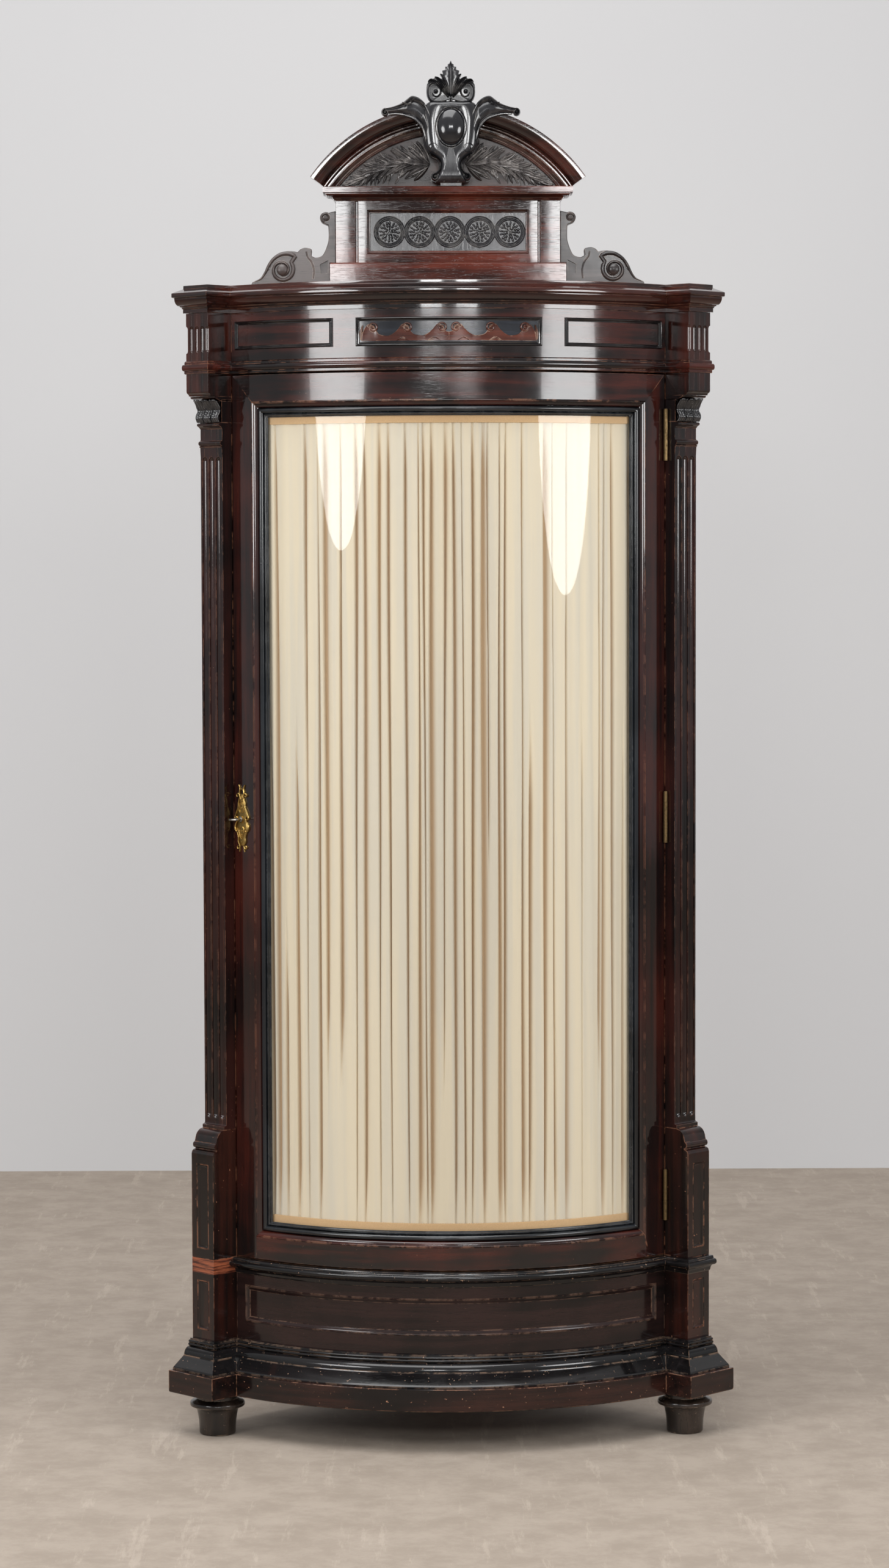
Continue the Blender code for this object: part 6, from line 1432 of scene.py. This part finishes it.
def make_capitals():
    """Three acanthus leaves with bellied feet and rolled tips, before a bell with a rim that flares."""
    bottom, top = heights("capital_right")
    height, face = top - bottom, SHAFT_OUT
    core = block_shape("core", (0, -face - 0.001, bottom), (BLOCK_WIDTH, -GAP, top - 0.006)).out_of_edit()
    rings = []
    for z, wide, out in ((top - 0.0085, 0, 0.004), (top - 0.006, 0.0035, 0.01), (top - 0.004, 0.0056, 0.016),
                         (top - 0.0032, 0.00623, 0.0178), (top, 0.00644, 0.0184)):
        side = BLOCK_WIDTH + wide
        rings.append([(0, -face - out, z), (side, -face - out, z), (side, -GAP, z), (0, -GAP, z)])
    bell = joined("capital_bell_right", [core, lofted("rim", rings).out_of_edit()])
    bell.moved(TO_BLOCK).pair("pilaster_wood")
    leaf = primitive("acanthus", "grid", x_subdivisions=26, y_subdivisions=26, size=2)
    bm = leaf.mesh()
    for vert in bm.verts:
        across, up = vert.co.x, (vert.co.y + 1) / 2
        lobes = 1 - 0.16 * abs(math.sin(up * math.pi * 3.2)) ** 0.7
        round_top = math.sqrt(max(1 - (max(up - 0.7, 0) / 0.31) ** 2, 0.03))
        wide = (0.8 + 0.2 * up) * lobes * round_top
        belly = 0.0062 * math.exp(-((up - 0.18) / 0.17) ** 2)
        tip = 0.019 * max((up - 0.42) / 0.58, 0) ** 1.7
        fold = 0.0022 * abs(across) ** 1.5 + 0.0012 * math.cos(across * math.pi * 2.6)
        spine = 0.0016 * math.exp(-(across / 0.12) ** 2)
        drop = 0.1 * height * max(up - 0.88, 0) / 0.12
        out = face + 0.0018 + belly + tip * (1 - 0.25 * across * across) + fold + spine
        vert.co = (BLOCK_WIDTH / 6 * across * wide * 1.16, -out, bottom + height * (0.02 + 0.93 * up) - drop)
    leaf.update()
    leaf.out_of_edit().modify("SOLIDIFY", thickness=0.0022, offset=-1).modify("SUBSURF", levels=1)
    places = [BLOCK_WIDTH * (number + 0.42) / 2.82 for number in range(3)]
    pieces = [leaf.again(Matrix.Translation((x, 0, 0))) for x in places]
    bpy.data.objects.remove(leaf.object)
    joined("capital_carving_right", pieces).moved(TO_BLOCK).pair("ebony_carved", "capital", smooth=50)


def bow_place(along, z, out):
    """A place on the bow's face, by its length along it."""
    x, y = on_bow(along / BOW, out)
    return x, y, z


def make_waves():
    """A running scroll, red on a black ground, that breaks towards the middle from both ends."""
    half = MIDDLE_HALF - 0.0073
    low, high = FRIEZE_LOW + 0.0073, FRIEZE_HIGH - 0.0073
    ground = block_shape("wave_ground", (-half, -0.0006, low), (half, -GAP, high))
    ground.bowed(-half, half).dress("ebony_ground", "wave_scroll")
    tool = Carver(lambda along, up: (along / 1000, low + (high - low) * up), 0, place=bow_place)
    end, eyes = half * 1000, [12.2 + 62.2 * number for number in range(3)]
    hills = [(0, 0.46), (eyes[0] - 6, 0.52)]
    for eye in eyes:
        if eye > eyes[0]:
            hills += [(eye - 21.5, 0.3), (eye - 12, 0.36), (eye - 6, 0.52)]
        hills += [(eye, 0.78), (eye + 9, 0.84), (eye + 16, 0.62), (eye + 24, 0.42), (eye + 33, 0.3)]
    upper = tool.on([point for point in hills if point[0] < end - 4] + [(end - 3.5, 0.3)])
    lower = [(x, tool.point(0, 0.05)[1]) for x, z in upper]
    profile = [(0, 0.00266), (0.05, 0.0028), (0.12, 0.0021), (1, 0.00196)]
    pieces = [strap(upper, lower, profile, 0.0, bow_place, 4)]
    for eye in eyes:
        pieces.append(tool.band(tool.curl((eye, 0.68), 9, 10, 1.45, 0.28, 20), (4, 4.2, 3), (3.64, 4.2)))
        pieces.append(tool.knob((eye, 0.68), 3.2, 4.76))
    edge = 0.0016 / (high - low)
    for place in (26, 83):
        notch = tool.line([(place - 11, edge), (place, 0.2), (place + 11, edge)], 4)
        pieces.append(tool.band(notch, (1, 3.4, 1), (3.08, 3.36)))
    tip = tool.line([(end - 6, 0.8), (end - 3, 0.45), (end - 2.8, 0.1)], 4)
    pieces.append(tool.band(tip, (2, 5.6, 2), (3.36, 3.92), groove_section))
    joined("wave_carving", both(pieces)).dress("wave_wood", smooth=45)


LOCK_ARC, LOCK_Z = -0.417, 1.1345


def on_door(along, z, out):
    """A place on the lock stile beside the keyhole."""
    x, y = on_bow((LOCK_ARC + along) / BOW, out)
    return x, y, LOCK_Z + z


def make_escutcheon():
    """A gilt mount of scrolls and husks round the keyhole."""
    low = 0.0003
    tool = Carver(lambda x, z: (x / 1000, z / 1000), 0, low, on_door)
    body = smooth_line([(0, 46), (4.5, 38), (6.5, 28), (10.5, 18), (13.5, 8), (11, -2), (13, -12), (14, -22),
                        (8, -32), (5.5, -44), (0, -50)], 3)
    plate = tool.swell(tool.on(mirrored(body)), (0, 0), (0, 0, 1.2), (0.1, 0.04, 2.2), (0.35, 0.1, 2.7),
                       (0.7, 0.3, 2.4), (0.97, 0.97, 2.4))
    half = [tool.band(tool.line(path), widths, highs) for path, widths, highs in (
        ([(2, 36), (5.5, 46), (4.5, 56), (7.5, 63)], (3.4, 3.6, 3, 1.4), (3.6, 4, 2.6)),
        ([(4, 44), (9, 47), (12.5, 44.5), (11, 41), (8.5, 42.5)], (2.6, 2.6, 2.2, 1.6), (4, 3.4)),
        ([(5, 40), (8, 30), (8.5, 22), (13, 14), (16, 7)], (2.6, 3, 3.4, 3, 2), (3.6, 4.2, 3.4)),
        ([(16, 7), (16.5, 1), (12.5, -1.5), (10.5, 2), (13, 4.5)], (2.8, 2.8, 2.2, 1.8), (4, 4.6, 4)),
        ([(11, -3), (15.5, -9), (16.5, -17), (13, -23), (9, -21), (10, -17)], (2.4, 3.2, 3, 2.4, 1.8),
         (3.6, 4.6, 4)),
        ([(12, -23), (8.5, -32), (8.5, -42), (5, -50), (6.5, -60)], (3, 2.6, 3, 2.6, 1.4), (3.8, 4.2, 2.6)),
        ([(5, -50), (9, -55), (12, -52), (10, -49)], (2.4, 2.4, 1.8), (3.6, 3.2)),
        ([(3, 12), (5.5, 17), (4.5, 24), (1.5, 31)], (1.8, 3.2, 3, 1.2), (4, 5, 4)),
        ([(3, -14), (6, -19), (4.5, -27), (1.5, -36)], (1.8, 3.4, 3, 1.2), (4, 5, 4)))]
    pearls = [tool.knob((0, z), radius, 4.6, 10, 3) for z, radius in (
        (20, 2), (27, 1.7), (33.5, 1.4), (39, 1.2), (-22, 2), (-29, 1.7), (-36, 1.4), (-42, 1.2), (55, 1.4))]
    x, y = on_bow(LOCK_ARC / BOW, 0)
    home = Matrix.Translation((x, y, 0)) @ Matrix.Rotation(LOCK_ARC / BOW, 4, "Z")
    pieces = [plate] + both(half, home @ MIRROR @ home.inverted()) + pearls
    joined("key_mount", pieces).dress("gilt_metal", "escutcheon", body="door", smooth=50)
    centre = (0, -0.001)
    rim = hoop(centre, (0.0042, 0.0062), 0.0016, 0.0044, low, on_door, 24, 5, "keyhole_rim")
    rim.dress("gilt_metal", body="door")
    # A dark boss with painted shade stands where the keyhole's opening is.
    hole = dome(centre, (0.004, 0.006), 0.0031, low, on_door, 20, 3, name="keyhole")
    hole.dress("keyhole_painted_shade", body="door")


make_cartouche()
make_palmette()
make_brackets()
make_laurel()
make_rosettes()
make_capitals()
make_waves()
make_escutcheon()


# Studio

def plane(name, look, wide, tall, location=(0, 0, 0), lean=0.0):
    """A flat surface of the studio."""
    bpy.ops.mesh.primitive_plane_add(size=1, location=location, rotation=(lean, 0, 0))
    made = bpy.context.object
    made.name = name
    made.scale = (wide, tall, 1)
    bpy.ops.object.transform_apply(location=False, rotation=False, scale=True)
    made.data.materials.append(look)
    return made


def studio():
    """A mottled floor, and a wall that can be seen only from the front."""
    bpy.ops.object.select_all(action="DESELECT")
    wall_y, half = 2.87, 14
    ground = Finish("studio_floor", Roughness=0.8)
    mottle = ground.step(ground.noise(ground.place(), 9, 8, 0.75), 0.36, 0.64)
    streaks = ground.noise(ground.stretched(ground.place(), (1, 0.12, 1)), 22, 5, 0.75)
    colour = ground.mix(mottle, rgb(156, 143, 130), rgb(170, 157, 144))
    colour = ground.mix(ground.step(streaks, 0.56, 0.66) * 0.25, colour, rgb(204, 190, 176))
    floor = plane("studio_floor", ground.feed(Base_Color=colour), half * 2, half * 2)
    paint = Finish("studio_wall", Roughness=0.9)
    paint.show(1 - paint.node("NewGeometry", out="Backfacing"))
    colour = paint.mix(paint.noise(paint.place(), 0.8, 2), rgb(206, 206, 208), rgb(211, 211, 212))
    place = (0, wall_y, half / 2)
    wall = plane("studio_wall", paint.feed(Base_Color=colour), half * 2, half, place, math.radians(90))


def lamp(name, place, aim, size, power, shape="RECTANGLE"):
    """An area lamp that lights and is mirrored, but isn't seen itself."""
    data = bpy.data.lights.new(name, "AREA")
    data.shape = shape
    data.size, data.size_y = size
    data.energy = power
    made = bpy.data.objects.new(name, data)
    made.location = place
    made.rotation_euler = (Vector(aim) - Vector(place)).to_track_quat("-Z", "Y").to_euler()
    made.visible_camera = False
    scene.collection.objects.link(made)


def softbox(name, azimuth, lowest, width, power):
    """A tall oval lamp in front, whose mirrored lower end shows in the glass."""
    turn, tall, far = math.radians(azimuth), 1.1, 3.6
    place = (far * math.sin(turn), -far * math.cos(turn), lowest + tall / 2)
    lamp(name, place, (0, 0, place[2]), (width, tall), power, "ELLIPSE")


studio()
softbox("softbox_left", -43, 1.62, 1.42, 40)
softbox("softbox_right", 47.0, 1.5, 1.42, 40)
lamp("ceiling", (-0.5, -1.2, 4.9), (0, 0, 1.0), (3.4, 3.4), 155)
for panel, middle in (("panel_left", -0.79), ("panel_right", 0.92)):
    lamp(panel, (middle, -7.35, 2.92), (middle, 0, 2.92), (1.0, 0.86), 56)

# A sky that is brighter overhead
world = bpy.data.worlds.new("studio")
scene.world = world
world.use_nodes = True
sky = world.node_tree.nodes
direction = sky.new("ShaderNodeTexCoord")
upward = sky.new("ShaderNodeSeparateXYZ")
rise = sky.new("ShaderNodeMapRange")
for socket, value in ((1, -0.2), (2, 0.9), (3, 0.3), (4, 0.62)):
    rise.inputs[socket].default_value = value
world.node_tree.links.new(direction.outputs["Generated"], upward.inputs[0])
world.node_tree.links.new(upward.outputs[2], rise.inputs[0])
world.node_tree.links.new(rise.outputs[0], sky["Background"].inputs[1])
sky["Background"].inputs[0].default_value = (0.98, 0.99, 1.0, 1)


def camera():
    """The photograph's view: its place, direction and roll were found from the cabinet's own lines."""
    focal, height = 6400, 2569  # in pixels of the photograph
    data = bpy.data.cameras.new("camera")
    data.sensor_width = 36
    data.lens = 36 * focal / height
    made = bpy.data.objects.new("camera", data)
    yaw, pitch, roll = 0.0071, 0.0615, -0.0028
    look = Vector((math.sin(yaw) * math.cos(pitch), math.cos(yaw) * math.cos(pitch), -math.sin(pitch)))
    turn = look.to_track_quat("-Z", "Y").to_matrix()
    made.matrix_world = Matrix.Translation((-0.06, CHORD_Y - 7.166, 1.638)) @ (
        turn @ Matrix.Rotation(roll, 3, "Z")).to_4x4()
    scene.collection.objects.link(made)
    scene.camera = made


camera()
scene.view_settings.view_transform = "Standard"
